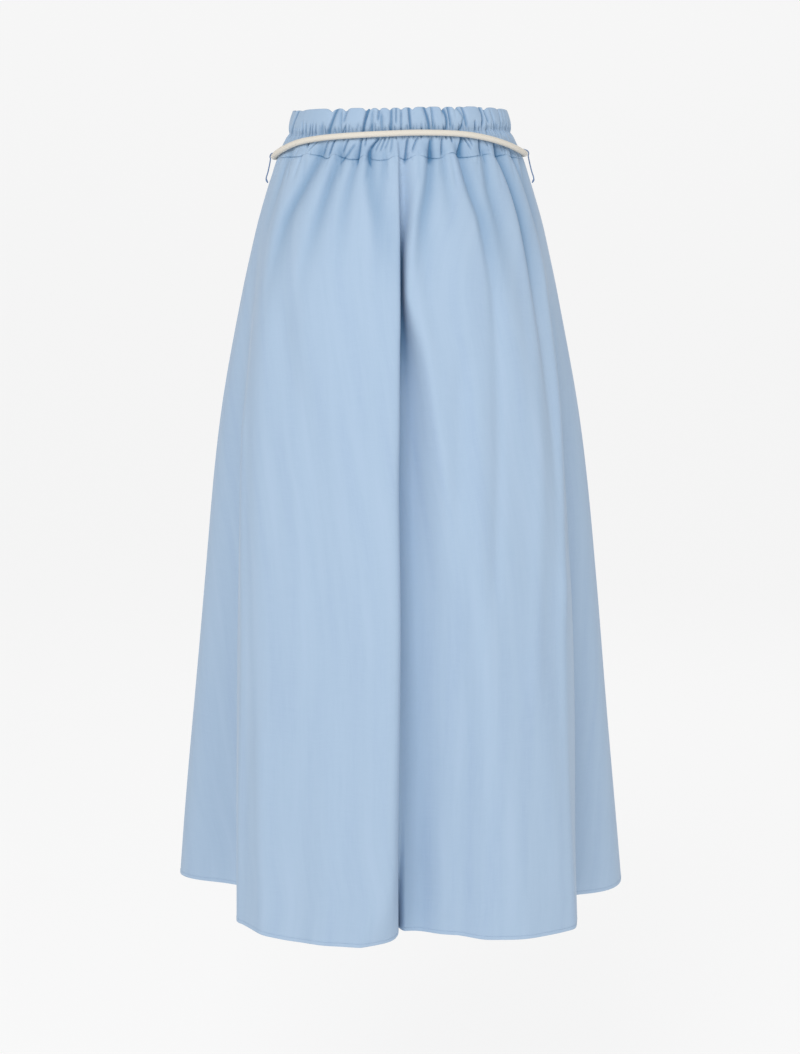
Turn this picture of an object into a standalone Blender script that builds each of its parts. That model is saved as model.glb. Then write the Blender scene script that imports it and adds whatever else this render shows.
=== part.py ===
"""A maxi skirt with a gathered elastic waistband and a rope belt, as worn with no wearer.

Metres, +Z up. The origin is the middle of the waist at the elastic's mid height. The back of
the skirt faces -Y, its right side is +X seen from the back, and angles run anticlockwise seen
from above: 0 is the right side seam, 90 the centre front, 180 the left side seam, 270 the
centre back. Each piece that is cut and sewn on is one object: two waistband halves, two skirt
panels, the rope and its two belt loops.
"""

import math
from collections import namedtuple

import bpy
from mathutils import Vector

COLLECTION = "maxi_skirt"

# Heights
TOP_EDGE = 0.013
STITCH_LINE = -0.013
WAIST_SEAM = -0.045
HEM = -0.944

# Cloth
CLOTH_WALL = 0.0015
SEAM_GAP = 0.0003
PLAIN_LEVEL = 0.004
GATHER_DEPTH = 0.0032
GATHER_TOP_STRENGTH = 0.85
GATHER_TAIL = 0.012
STITCH_PINCH = 0.0018
STITCH_PINCH_REACH = 0.004
TOP_EDGE_DIP = 0.0025
FOLDS_AT_STITCHES = 0.45

# Rope belt
ROPE_DIAMETER = 0.007
REST_GAP = 0.0004

# Thread belt loops at the side seams
THREAD_DIAMETER = 0.0016
THREAD_TOP = -0.0335
THREAD_BOTTOM = -0.0730
THREAD_LIFT = 0.0006
LOOP_TURNS_OVER_ROPE = (1.5, 0.75, 0.0, -0.5)
LOOP_BELLY = 0.0018
LOOP_BELLY_SHARE = 0.55
LOOP_FOOT_OUT = 0.0032
LOOP_FOOT_RISE = 0.0036

# How finely the solids are divided
PANEL_COLUMNS = 92
PANEL_ROWS = 12
ROW_CROWDING = 1.35
COLUMNS_SETTLE = 0.62
BEND_WEIGHT = 0.018
BAND_COLUMNS = 104
BAND_HEIGHTS = (TOP_EDGE, 0.0095, -0.0080, STITCH_LINE, -0.0190, -0.0320, WAIST_SEAM)
ROPE_POINTS = 76
ROPE_SIDES_RESOLUTION = 2

RIGHT_SEAM, LEFT_SEAM, FULL_TURN = 0.0, 180.0, 360.0

# The cloth's outline without its folds: half the width, and the depth behind and before the middle
Section = namedtuple("Section", "height half_width back_depth front_depth")
SECTIONS = (
    Section(TOP_EDGE, 0.1275, 0.089, 0.087),
    Section(STITCH_LINE, 0.1335, 0.093, 0.091),
    Section(WAIST_SEAM, 0.1480, 0.103, 0.099),
    Section(-0.080, 0.1600, 0.114, 0.106),
    Section(-0.130, 0.1755, 0.128, 0.115),
    Section(-0.210, 0.1940, 0.145, 0.128),
    Section(-0.360, 0.2215, 0.169, 0.150),
    Section(-0.560, 0.2455, 0.197, 0.175),
    Section(-0.760, 0.2665, 0.221, 0.196),
    Section(HEM, 0.2850, 0.242, 0.214),
)

# The skirt's deep flutes, a row for each at the seam, half way down and at the hem. Spreads are
# degrees before and after the valley, and a tuck is how far that lip closes over the valley.
Flute = namedtuple("Flute", "name height angle depth before after tuck_before tuck_after")
FLUTES = (
    Flute("left_back", WAIST_SEAM, 196, 0.000, 9.0, 8.0, 0.000, 0.000),
    Flute("left_back", -0.400, 199, 0.026, 9.0, 8.0, -0.003, 0.000),
    Flute("left_back", HEM, 206, 0.084, 11.0, 10.0, -0.016, -0.003),
    Flute("right_back", WAIST_SEAM, 346, 0.000, 7.0, 8.0, 0.000, 0.000),
    Flute("right_back", -0.400, 342, 0.020, 7.0, 8.0, 0.004, 0.000),
    Flute("right_back", HEM, 336, 0.070, 9.0, 10.0, 0.009, -0.002),
    Flute("right_front", WAIST_SEAM, 34, 0.000, 8.0, 8.0, 0.000, 0.000),
    Flute("right_front", -0.400, 33, 0.020, 8.0, 8.0, 0.003, 0.003),
    Flute("right_front", HEM, 31, 0.062, 10.0, 10.0, 0.010, 0.012),
    Flute("mid_right_front", WAIST_SEAM, 73, 0.004, 4.0, 4.0, 0.000, 0.000),
    Flute("mid_right_front", -0.300, 72, 0.014, 5.5, 6.0, 0.003, 0.003),
    Flute("mid_right_front", HEM, 70, 0.046, 8.5, 9.5, 0.012, 0.009),
    Flute("mid_left_front", WAIST_SEAM, 108, 0.004, 4.0, 4.0, 0.000, 0.000),
    Flute("mid_left_front", -0.300, 110, 0.016, 6.0, 5.5, 0.003, 0.004),
    Flute("mid_left_front", HEM, 113, 0.052, 9.5, 8.0, 0.009, 0.014),
    Flute("left_front", WAIST_SEAM, 146, 0.000, 8.0, 8.0, 0.000, 0.000),
    Flute("left_front", -0.400, 148, 0.018, 8.0, 8.0, 0.003, 0.003),
    Flute("left_front", HEM, 151, 0.058, 10.0, 10.0, 0.012, 0.010),
)

# The one folded pleat, down the centre back: its left side is a crisp edge laid over the valley,
# and its right side comes back up slowly. The lip is how far the edge is laid over.
Pleat = namedtuple("Pleat", "height angle depth before after lip")
PLEAT = (
    Pleat(WAIST_SEAM, 271.0, 0.009, 2.2, 3.4, 0.003),
    Pleat(-0.100, 271.1, 0.015, 2.8, 2.6, 0.007),
    Pleat(-0.150, 271.1, 0.020, 3.2, 2.1, 0.011),
    Pleat(-0.220, 271.2, 0.026, 3.8, 3.4, 0.016),
    Pleat(-0.350, 271.3, 0.032, 4.3, 6.0, 0.021),
    Pleat(-0.600, 271.6, 0.040, 4.8, 10.5, 0.022),
    Pleat(HEM, 272.2, 0.054, 5.0, 13.0, 0.022),
)
LIP_REACH, LIP_SPREAD = 1.45, 0.42
# spreads from a flute's valley past which it moves nothing
FLUTE_END = 4.5

# Soft folds that the gathering throws below the waist seam, across the back
SoftFold = namedtuple("SoftFold", "seam_angle end_angle depth spread end_height")
SOFT_FOLDS = (
    SoftFold(206, 203, 0.0030, 3.4, -0.170),
    SoftFold(229, 216, 0.0065, 3.2, -0.270),
    SoftFold(241, 231, 0.0060, 2.8, -0.240),
    SoftFold(250, 249, 0.0045, 2.4, -0.210),
    SoftFold(257, 266, 0.0050, 2.6, -0.240),
    SoftFold(263, 262, 0.0025, 2.0, -0.130),
    SoftFold(283, 277, 0.0065, 2.6, -0.260),
    SoftFold(290, 290, 0.0035, 2.2, -0.150),
    SoftFold(298, 306, 0.0070, 3.2, -0.320),
    SoftFold(311, 312, 0.0055, 2.8, -0.250),
    SoftFold(324, 323, 0.0085, 3.2, -0.520),
    SoftFold(337, 343, 0.0045, 2.6, -0.220),
    SoftFold(347, 345, 0.0030, 3.0, -0.150),
)

# Gathers of the elastic casing across the back, from the top edge to the stitch line
Gather = namedtuple("Gather", "top_angle stitch_angle depth spread")
GATHERS = (
    Gather(184, 184, 0.6, 1.8),
    Gather(193, 195, 0.7, 1.3),
    Gather(202, 200, 0.4, 1.5),
    Gather(212, 210, 0.5, 1.6),
    Gather(221, 221, 0.5, 1.6),
    Gather(233, 229, 0.9, 1.5),
    Gather(240, 239, 0.7, 1.4),
    Gather(253, 250, 1.0, 1.4),
    Gather(257, 256, 0.7, 1.3),
    Gather(262, 261, 0.7, 1.3),
    Gather(266, 266, 0.7, 1.3),
    Gather(270, 270, 0.8, 1.3),
    Gather(275, 276, 0.9, 1.4),
    Gather(282, 285, 0.9, 1.5),
    Gather(291, 293, 1.0, 1.5),
    Gather(296, 297, 0.6, 1.4),
    Gather(301, 306, 0.8, 1.6),
    Gather(316, 316, 0.9, 1.4),
    Gather(320, 322, 0.6, 1.4),
    Gather(327, 328, 0.7, 1.4),
    Gather(333, 334, 0.6, 1.4),
    Gather(339, 339, 0.6, 1.4),
    Gather(345, 345, 0.5, 1.4),
    Gather(351, 351, 0.6, 1.4),
    Gather(357, 357, 0.5, 1.4),
)

# The rope's height all round: level across the front, and sagging from the back to both side seams.
# Its left end hangs a little lower than its right one.
RopeHeight = namedtuple("RopeHeight", "angle height")
ROPE_LINE = (
    RopeHeight(360, -0.0405),
    RopeHeight(352, -0.0397),
    RopeHeight(344, -0.0378),
    RopeHeight(328, -0.0300),
    RopeHeight(314, -0.0238),
    RopeHeight(300, -0.0200),
    RopeHeight(280, -0.0190),
    RopeHeight(262, -0.0204),
    RopeHeight(240, -0.0229),
    RopeHeight(228, -0.0250),
    RopeHeight(214, -0.0290),
    RopeHeight(198, -0.0374),
    RopeHeight(189, -0.0415),
    RopeHeight(180, -0.0440),
    RopeHeight(90, -0.0400),
    RopeHeight(0, -0.0405),
)

BLUE_COTTON = (0.435, 0.565, 0.730)
CREAM_COTTON = (0.820, 0.790, 0.705)
DARK_THREAD = (0.090, 0.130, 0.200)


def blend(start, end, share):
    return start + (end - start) * share


def ease(share):
    """0 to 1 with level ends, held at both sides."""
    share = min(1.0, max(0.0, share))
    return share * share * (3 - 2 * share)


def row_values(rows, place, columns, by="height"):
    """The named columns at a place, on a smooth curve through the rows, which run downwards."""
    last = len(rows) - 1
    places = [getattr(row, by) for row in rows]
    at = next((i for i in range(last) if place >= places[i + 1]), last - 1)
    first, second = rows[at], rows[at + 1]
    span = places[at + 1] - places[at]
    share = min(1.0, max(0.0, (place - places[at]) / span))
    found = []
    for column in columns:
        here, there = getattr(first, column), getattr(second, column)
        slopes = []
        for row in (at, at + 1):
            low, high = max(0, row - 1), min(last, row + 1)
            rise = getattr(rows[high], column) - getattr(rows[low], column)
            slopes.append(rise / (places[high] - places[low]))
        square, cube = share**2, share**3
        found.append(
            (2 * cube - 3 * square + 1) * here
            + (cube - 2 * square + share) * span * slopes[0]
            + (3 * square - 2 * cube) * there
            + (cube - square) * span * slopes[1]
        )
    return found


def turn_between(angle, centre):
    """Degrees from a centre to an angle, the short way round."""
    return (angle - centre + 180) % 360 - 180


def outline(angle, height):
    """(point, inward direction, direction of rising angle) on the outline without folds."""
    half_width, back, front = row_values(SECTIONS, height, ("half_width", "back_depth", "front_depth"))
    turn = math.radians(angle)
    depth = front if math.sin(turn) > 0 else back
    point = Vector((half_width * math.cos(turn), depth * math.sin(turn), height))
    along = Vector((-half_width * math.sin(turn), depth * math.cos(turn), 0)).normalized()
    return point, Vector((-along.y, along.x, 0)), along


def pleat_shift(angle, height):
    """How far the centre back pleat moves the cloth inwards and round, at an angle and height."""
    centre, depth, before, after, lip = row_values(PLEAT, height, Pleat._fields[1:])
    turn = turn_between(angle, centre)
    if turn > 0:
        return depth * math.exp(-((turn / after) ** 2) / 2), 0.0
    reach = turn / before
    return depth * math.exp(-(reach**4) / 2), lip * math.exp(-(((reach + LIP_REACH) / LIP_SPREAD) ** 2) / 2)


def flute_shift(angle, height):
    """How far the deep flutes and the pleat move the cloth inwards and round, at an angle and height."""
    inward, round_it = pleat_shift(angle, height)
    for first in range(0, len(FLUTES), 3):
        rows = FLUTES[first : first + 3]
        centre, depth, before, after, tuck_before, tuck_after = row_values(rows, height, Flute._fields[2:])
        turn = turn_between(angle, centre)
        reach = turn / (before if turn < 0 else after)
        if abs(reach) > FLUTE_END:
            continue
        bell = math.exp(-reach * reach / 2)
        inward += depth * bell
        round_it -= (tuck_before if turn < 0 else tuck_after) * reach * bell * math.exp(0.5)
    return inward, round_it


def both_sides(angle):
    """The angle itself and the one across the waist, since the front repeats the back's gathering."""
    return angle, angle - 180


def below_stitches(height):
    """0 at the stitch line and above, 1 at the waist seam."""
    return ease((STITCH_LINE - height) / (STITCH_LINE - WAIST_SEAM))


def soft_fold_depth(angle, height):
    """Inward depth of the soft folds, which are strongest at the waist seam."""
    total = 0.0
    for fold in SOFT_FOLDS:
        if height > WAIST_SEAM:
            share, strength = 0.0, blend(FOLDS_AT_STITCHES, 1.0, below_stitches(height))
        else:
            share = min(1.0, (height - WAIST_SEAM) / (fold.end_height - WAIST_SEAM))
            strength = 1 - ease(share)
        for seam_angle, end_angle in zip(both_sides(fold.seam_angle), both_sides(fold.end_angle)):
            reach = turn_between(angle, blend(seam_angle, end_angle, share)) / (fold.spread * (1 + share))
            total += fold.depth * strength * math.exp(-reach * reach / 2)
    return total


def gather_depth(angle, height):
    """Inward depth of the casing's gathers, from 0 on a crest to about 1 in the deepest."""
    share = (TOP_EDGE - height) / (TOP_EDGE - STITCH_LINE)
    fade = ease((STITCH_LINE - height) / GATHER_TAIL)
    strength = blend(GATHER_TOP_STRENGTH, 1.0, ease(2 * share)) * (1 - fade)
    total = 0.0
    for gather in GATHERS:
        for top_angle, stitch_angle in zip(both_sides(gather.top_angle), both_sides(gather.stitch_angle)):
            reach = turn_between(angle, blend(top_angle, stitch_angle, min(1.0, share))) / gather.spread
            total += gather.depth * strength * math.exp(-reach * reach / 2)
    return min(total, 1.0)


def skirt_point(angle, height):
    """A point on the outer face of the skirt's cloth, below the waist seam."""
    point, inward, along = outline(angle, height)
    depth, round_it = flute_shift(angle, height)
    return point + inward * (depth + soft_fold_depth(angle, height)) + along * round_it


def band_depth(angle, height):
    """Inward depth of the waistband's outer face: gathers above the stitches, the skirt's folds below."""
    pinch = STITCH_PINCH * math.exp(-(((height - STITCH_LINE) / STITCH_PINCH_REACH) ** 2))
    casing = min(PLAIN_LEVEL - SEAM_GAP, GATHER_DEPTH * gather_depth(angle, height) + pinch)
    folds = soft_fold_depth(angle, height) + flute_shift(angle, WAIST_SEAM)[0]
    return casing + folds * below_stitches(height)


def band_point(angle, height, relief):
    """A point on the waistband: its gathered outer face, or with no relief the plain level under it."""
    point, inward, along = outline(angle, height)
    depth = band_depth(angle, height)
    below = below_stitches(height)
    around = along * flute_shift(angle, WAIST_SEAM)[1] * below
    if not relief:
        return point + inward * blend(PLAIN_LEVEL, depth, below) + around
    rise = ease(1 - (TOP_EDGE - height) / (TOP_EDGE - STITCH_LINE))
    dip = TOP_EDGE_DIP * gather_depth(angle, height) * rise
    return point + inward * depth + around - Vector((0, 0, dip))


def seam_trim(start, end, share, height):
    """The angle at a share of the way from seam to seam, kept half a gap clear of both seams."""
    half_gap = math.degrees(SEAM_GAP / 2 / row_values(SECTIONS, height, ("back_depth",))[0])
    return blend(start + half_gap, end - half_gap, share)


def hem_shares(start, end, columns):
    """Shares from seam to seam of each column at the hem: even lengths of cloth, closer where it bends."""
    fine = 20 * columns
    points = [skirt_point(blend(start, end, i / fine), HEM) for i in range(fine + 1)]
    measure, heading = [0.0], (points[1] - points[0]).normalized()
    for one, other in zip(points, points[1:]):
        step = other - one
        bend = step.normalized().angle(heading)
        measure.append(measure[-1] + step.length + BEND_WEIGHT * bend)
        heading = step.normalized()
    found, at = [], 0
    for column in range(columns + 1):
        wanted = measure[-1] * column / columns
        while at < fine - 1 and measure[at + 1] < wanted:
            at += 1
        found.append((at + (wanted - measure[at]) / (measure[at + 1] - measure[at])) / fine)
    return found


def seam_shares(at_hem, pleat):
    """Shares of each column at the waist seam: even on both sides of the column the pleat runs down."""
    last = len(at_hem) - 1
    if not 0 < pleat < 1:
        return [column / last for column in range(last + 1)]
    at = next(i for i in range(last) if at_hem[i + 1] > pleat)
    pivot = at + (pleat - at_hem[at]) / (at_hem[at + 1] - at_hem[at])
    found = []
    for column in range(last + 1):
        if column < pivot:
            found.append(pleat * column / pivot)
        else:
            found.append(1 - (1 - pleat) * (last - column) / (last - pivot))
    return found


def parts_collection():
    """The collection that holds the skirt's pieces."""
    found = bpy.data.collections.get(COLLECTION)
    if found is None:
        found = bpy.data.collections.new(COLLECTION)
        bpy.context.scene.collection.children.link(found)
    return found


def cloth_grid(name, columns, rows, place):
    """A sheet whose points are put where place says, and the column and row of each of them."""
    bpy.ops.mesh.primitive_grid_add(x_subdivisions=columns, y_subdivisions=rows, size=2)
    sheet = bpy.context.object
    bpy.context.collection.objects.unlink(sheet)
    parts_collection().objects.link(sheet)
    sheet.name = name
    sheet.data.name = name
    spots = []
    for vertex in sheet.data.vertices:
        spots.append((round((vertex.co.x + 1) / 2 * columns), round((1 - vertex.co.y) / 2 * rows)))
        vertex.co = place(*spots[-1])
    face_outwards(sheet.data)
    return sheet, spots


def face_outwards(mesh):
    """Turns the open sheet's faces round if they point at the middle of the waist."""
    face = mesh.polygons[len(mesh.polygons) // 2]
    if face.normal.dot(Vector((face.center.x, face.center.y, 0))) < 0:
        mesh.flip_normals()


def give_wall(sheet, spots, columns):
    """Thickens a sheet inwards, with the ends that meet at the side seams squared off."""
    solidify = sheet.modifiers.new("cloth_wall", "SOLIDIFY")
    solidify.thickness = CLOTH_WALL
    solidify.offset = -1
    solidify.use_even_offset = True
    graph = bpy.context.evaluated_depsgraph_get()
    walled = bpy.data.meshes.new_from_object(sheet.evaluated_get(graph))
    walled.shade_smooth()
    sheet.modifiers.clear()
    sheet.data = walled
    # the sheet's own points come first and are the outer face, with the inner ones after in step
    for index, (column, _) in enumerate(spots):
        if column in (0, columns):
            walled.vertices[index + len(spots)].co.y = walled.vertices[index].co.y


def skirt_panel(name, start, end):
    """One panel of the skirt between its two side seams, a fluted wall from waist seam to hem."""
    at_hem = hem_shares(start, end, PANEL_COLUMNS)
    at_seam = seam_shares(at_hem, (PLEAT[-1].angle - start) / (end - start))

    def place(column, row):
        # rows lie closer together near the gathered seam
        down = (row / PANEL_ROWS) ** ROW_CROWDING
        height = blend(WAIST_SEAM - SEAM_GAP / 2, HEM, down)
        share = blend(at_seam[column], at_hem[column], ease(down / COLUMNS_SETTLE))
        return skirt_point(seam_trim(start, end, share, height), height)

    panel, spots = cloth_grid(name, PANEL_COLUMNS, PANEL_ROWS, place)
    give_wall(panel, spots, PANEL_COLUMNS)
    return panel


def waistband_half(name, start, end):
    """Half of the waistband: a plain wall inside, its outer points raised into gathers."""
    rows = len(BAND_HEIGHTS) - 1

    def place(column, row, relief=False):
        height = BAND_HEIGHTS[row] + (SEAM_GAP / 2 if row == rows else 0)
        return band_point(seam_trim(start, end, column / BAND_COLUMNS, height), height, relief)

    band, spots = cloth_grid(name, BAND_COLUMNS, rows, place)
    give_wall(band, spots, BAND_COLUMNS)
    points = band.data.vertices
    for index, (column, row) in enumerate(spots):
        points[index].co = place(column, row, relief=True)
        if row == rows:
            points[index + len(spots)].co.z = points[index].co.z
    return band


def outer_direction(angle, height):
    """The direction straight out of the outline, its slope included."""
    step = 0.001
    point, _, along = outline(angle, height)
    up = outline(angle, height + step)[0] - point
    return along.cross(up).normalized()


def tube(name, points, diameter, resolution, closed):
    """A round tube through the points."""
    curve = bpy.data.curves.new(name, "CURVE")
    curve.dimensions = "3D"
    curve.bevel_depth = diameter / 2
    curve.bevel_resolution = resolution
    curve.use_fill_caps = not closed
    spline = curve.splines.new("POLY")
    spline.points.add(len(points) - 1)
    for spot, point in zip(spline.points, points):
        spot.co = (*point, 1)
    spline.use_cyclic_u = closed
    made = bpy.data.objects.new(name, curve)
    parts_collection().objects.link(made)
    return made


def rope_centre(angle):
    """The middle of the rope where it lies on the cloth at an angle."""
    height = row_values(ROPE_LINE, angle, ("height",), by="angle")[0]
    return outline(angle, height)[0] + outer_direction(angle, height) * (ROPE_DIAMETER / 2 + REST_GAP)


def rope_belt():
    points = [rope_centre(360 * i / ROPE_POINTS) for i in range(ROPE_POINTS)]
    return tube("rope_belt", points, ROPE_DIAMETER, ROPE_SIDES_RESOLUTION, closed=True)


def belt_loop(name, angle):
    """A thread loop on a side seam: out from the waistband, down over the rope and back to the skirt."""
    side = 1 if angle == RIGHT_SEAM else -1
    rope = rope_centre(angle)
    clear = ROPE_DIAMETER / 2 + REST_GAP + THREAD_DIAMETER / 2
    top, top_out = band_point(angle, THREAD_TOP, True), outer_direction(angle, THREAD_TOP)
    bottom, bottom_out = skirt_point(angle, THREAD_BOTTOM), outer_direction(angle, THREAD_BOTTOM)
    over = [rope + Vector((side * math.cos(t), 0, math.sin(t))) * clear for t in LOOP_TURNS_OVER_ROPE]
    route = (
        top + top_out * THREAD_LIFT,
        *over,
        blend(over[-1], bottom, LOOP_BELLY_SHARE) + bottom_out * LOOP_BELLY,
        bottom + bottom_out * LOOP_FOOT_OUT + Vector((0, 0, LOOP_FOOT_RISE)),
        bottom + bottom_out * (LOOP_FOOT_OUT - THREAD_DIAMETER),
        bottom + bottom_out * THREAD_LIFT,
    )
    return tube(name, route, THREAD_DIAMETER, 1, closed=False)


def material(name, colour, roughness):
    made = bpy.data.materials.new(name)
    made.use_nodes = True
    shader = made.node_tree.nodes["Principled BSDF"]
    shader.inputs["Base Color"].default_value = (*colour, 1)
    shader.inputs["Roughness"].default_value = roughness
    shader.inputs["Metallic"].default_value = 0
    return made


def dress(pieces, finish):
    for piece in pieces:
        piece.data.materials.clear()
        piece.data.materials.append(finish)


def clear_scene():
    for leftover in list(bpy.data.objects):
        bpy.data.objects.remove(leftover)


def main():
    clear_scene()
    cloth = [
        waistband_half("waistband_back", LEFT_SEAM, FULL_TURN),
        waistband_half("waistband_front", RIGHT_SEAM, LEFT_SEAM),
        skirt_panel("skirt_back", LEFT_SEAM, FULL_TURN),
        skirt_panel("skirt_front", RIGHT_SEAM, LEFT_SEAM),
    ]
    rope = [rope_belt()]
    threads = [belt_loop("belt_loop_right", RIGHT_SEAM), belt_loop("belt_loop_left", LEFT_SEAM)]
    dress(cloth, material("blue_cotton_poplin", BLUE_COTTON, 0.75))
    dress(rope, material("cream_cotton_rope", CREAM_COTTON, 0.85))
    dress(threads, material("dark_blue_thread", DARK_THREAD, 0.70))


main()
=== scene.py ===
"""The looks of a maxi skirt: gathered cotton poplin, a braided rope belt and thread belt loops.

Metres, +Z up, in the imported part's frame. The back of the skirt faces -Y and its right side is
+X seen from the back. Angles run anticlockwise seen from above: 0 is the right side seam, 90 the
centre front, 180 the left side seam and 270 the centre back. Small sizes that are said to be in
millimetres are turned into metres where they are used.
"""

import logging
import math
from dataclasses import dataclass
from enum import Enum
from typing import Any, Iterable, NamedTuple, Sequence

import bpy
import numpy as np
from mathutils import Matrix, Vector

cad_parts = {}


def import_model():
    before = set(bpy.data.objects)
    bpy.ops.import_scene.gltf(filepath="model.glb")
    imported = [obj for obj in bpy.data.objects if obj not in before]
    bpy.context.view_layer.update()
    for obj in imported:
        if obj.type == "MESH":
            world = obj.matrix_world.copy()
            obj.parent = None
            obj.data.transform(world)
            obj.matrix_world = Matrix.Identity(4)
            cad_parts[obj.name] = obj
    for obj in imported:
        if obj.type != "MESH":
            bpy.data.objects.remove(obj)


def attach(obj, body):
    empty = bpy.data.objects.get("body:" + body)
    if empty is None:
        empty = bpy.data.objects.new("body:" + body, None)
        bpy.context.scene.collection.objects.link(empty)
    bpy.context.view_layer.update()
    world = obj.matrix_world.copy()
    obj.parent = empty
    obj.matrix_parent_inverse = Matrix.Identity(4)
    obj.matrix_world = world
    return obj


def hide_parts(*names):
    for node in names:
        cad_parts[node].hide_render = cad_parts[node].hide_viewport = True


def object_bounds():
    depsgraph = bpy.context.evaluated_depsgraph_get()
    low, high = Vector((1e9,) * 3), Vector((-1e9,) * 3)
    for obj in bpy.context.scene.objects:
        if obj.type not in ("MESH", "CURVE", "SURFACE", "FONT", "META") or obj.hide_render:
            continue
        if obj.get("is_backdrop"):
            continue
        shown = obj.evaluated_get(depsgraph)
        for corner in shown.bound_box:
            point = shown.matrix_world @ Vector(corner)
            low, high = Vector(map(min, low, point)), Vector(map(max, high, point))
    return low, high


LOG = logging.getLogger("maxi_skirt")
MM = 0.001

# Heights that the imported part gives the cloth
TOP_EDGE = 0.013
STITCH_LINE = -0.013
WAIST_SEAM = -0.045
HEM = -0.944
SEAM_GAP = 0.0003

BACK_TO_FRONT = 180.0


def blend(start: Any, end: Any, share: Any) -> Any:
    """The value at a share of the way from start to end."""
    return start + (end - start) * share


def ease(share: Any) -> Any:
    """0 to 1 with level ends, held at both sides."""
    share = np.clip(share, 0.0, 1.0)
    return share * share * (3 - 2 * share)


def bell(reach: Any) -> Any:
    """A soft rounded fold's profile, 1 at its middle."""
    return np.exp(-np.square(reach) / 2)


def crisp(reach: Any) -> Any:
    """A sharp crease's profile, 1 at its narrow bottom, with sides that flatten out slowly."""
    sharpness = 1.7
    return np.exp(1 - np.sqrt(1 + np.square(sharpness * reach)))


def turn_between(angle: Any, centre: Any) -> Any:
    """Degrees from a centre to an angle, the short way round."""
    return (angle - centre + 180) % 360 - 180


def curve_through(heights: Sequence[float], values: Sequence[float], height: np.ndarray) -> np.ndarray:
    """Reads a smooth curve through a table's rows, which run downwards.

    Args:
        heights: the rows' heights.
        values: the rows' values.
        height: the heights to read the curve at.

    Returns:
        The curve's value at each height, held at the first and last row.
    """
    heights, values = np.asarray(heights, float), np.asarray(values, float)
    last = len(heights) - 1
    low, high = np.maximum(np.arange(last + 1) - 1, 0), np.minimum(np.arange(last + 1) + 1, last)
    slopes = (values[high] - values[low]) / (heights[high] - heights[low])
    at = np.clip(np.searchsorted(-heights, -height) - 1, 0, last - 1)
    span = heights[at + 1] - heights[at]
    share = np.clip((height - heights[at]) / span, 0.0, 1.0)
    square, cube = share**2, share**3
    return (
        (2 * cube - 3 * square + 1) * values[at]
        + (cube - 2 * square + share) * span * slopes[at]
        + (3 * square - 2 * cube) * values[at + 1]
        + (cube - square) * span * slopes[at + 1]
    )


def table_columns(rows: Sequence[Any], height: np.ndarray, columns: Iterable[str]) -> list[np.ndarray]:
    """The named columns of a table at each height, on smooth curves through its rows."""
    heights = [row.height for row in rows]
    return [curve_through(heights, [getattr(row, name) for row in rows], height) for name in columns]


class Side(Enum):
    """The half of the skirt that a piece covers, by the angles of its two side seams."""

    BACK = (180.0, 360.0)
    FRONT = (0.0, 180.0)

    @property
    def word(self) -> str:
        """The side's name in piece names."""
        return self.name.lower()


class Section(NamedTuple):
    """The outline without folds at a height: half its width, and its depth behind and before the middle."""

    height: float
    half_width: float
    back_depth: float
    front_depth: float


class Flute(NamedTuple):
    """A deep flute at a height: its angle, its depth, its spread in degrees and how far each lip closes."""

    height: float
    angle: float
    depth: float
    before: float
    after: float
    tuck_before: float
    tuck_after: float


class Pleat(NamedTuple):
    """The centre back pleat at a height, with the lip that its left edge is laid over by."""

    height: float
    angle: float
    depth: float
    before: float
    after: float
    lip: float


class Trough(NamedTuple):
    """A soft fold below the waist seam: four angles down its path, and its section in millimetres."""

    seam_angle: float
    high_hip_angle: float
    hip_angle: float
    end_angle: float
    end_height: float
    depth: float
    before: float
    after: float


class Crease(NamedTuple):
    """A crease of the gathered band: three angles down its path, and millimetres for all the rest."""

    top: float
    top_angle: float
    middle_angle: float
    bottom_angle: float
    bottom: float
    depth: float
    before: float
    after: float


class Notch(NamedTuple):
    """A dip of the top edge between two gathers, in millimetres."""

    angle: float
    drop: float
    width: float


class LongFold(NamedTuple):
    """A long soft fold of the lower skirt, in millimetres, with its path. A depth below zero is a ridge."""

    depth: float
    width: float
    path: tuple[tuple[float, float], ...]


class TurnIn(NamedTuple):
    """The line from which the left lobe turns in towards the pleat, and how deep it goes beside it."""

    height: float
    angle: float
    depth: float


class SeamPoint(NamedTuple):
    """Where the waist seam runs across the back: its rise in millimetres, and how much its line shows."""

    angle: float
    rise: float
    shows: float


class WaistPoint(NamedTuple):
    """How far the top edge and the casing's stitches lie above their mean heights, in millimetres."""

    angle: float
    top: float
    stitches: float


# The outline at each height, from the top edge to the hem
SECTIONS = (
    Section(TOP_EDGE, 0.1275, 0.089, 0.087),
    Section(STITCH_LINE, 0.1335, 0.093, 0.091),
    Section(WAIST_SEAM, 0.1480, 0.103, 0.099),
    Section(-0.080, 0.1600, 0.114, 0.106),
    Section(-0.130, 0.1755, 0.128, 0.115),
    Section(-0.210, 0.1940, 0.145, 0.128),
    Section(-0.360, 0.2215, 0.169, 0.150),
    Section(-0.560, 0.2455, 0.197, 0.175),
    Section(-0.760, 0.2665, 0.221, 0.196),
    Section(HEM, 0.2850, 0.242, 0.214),
)

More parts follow.
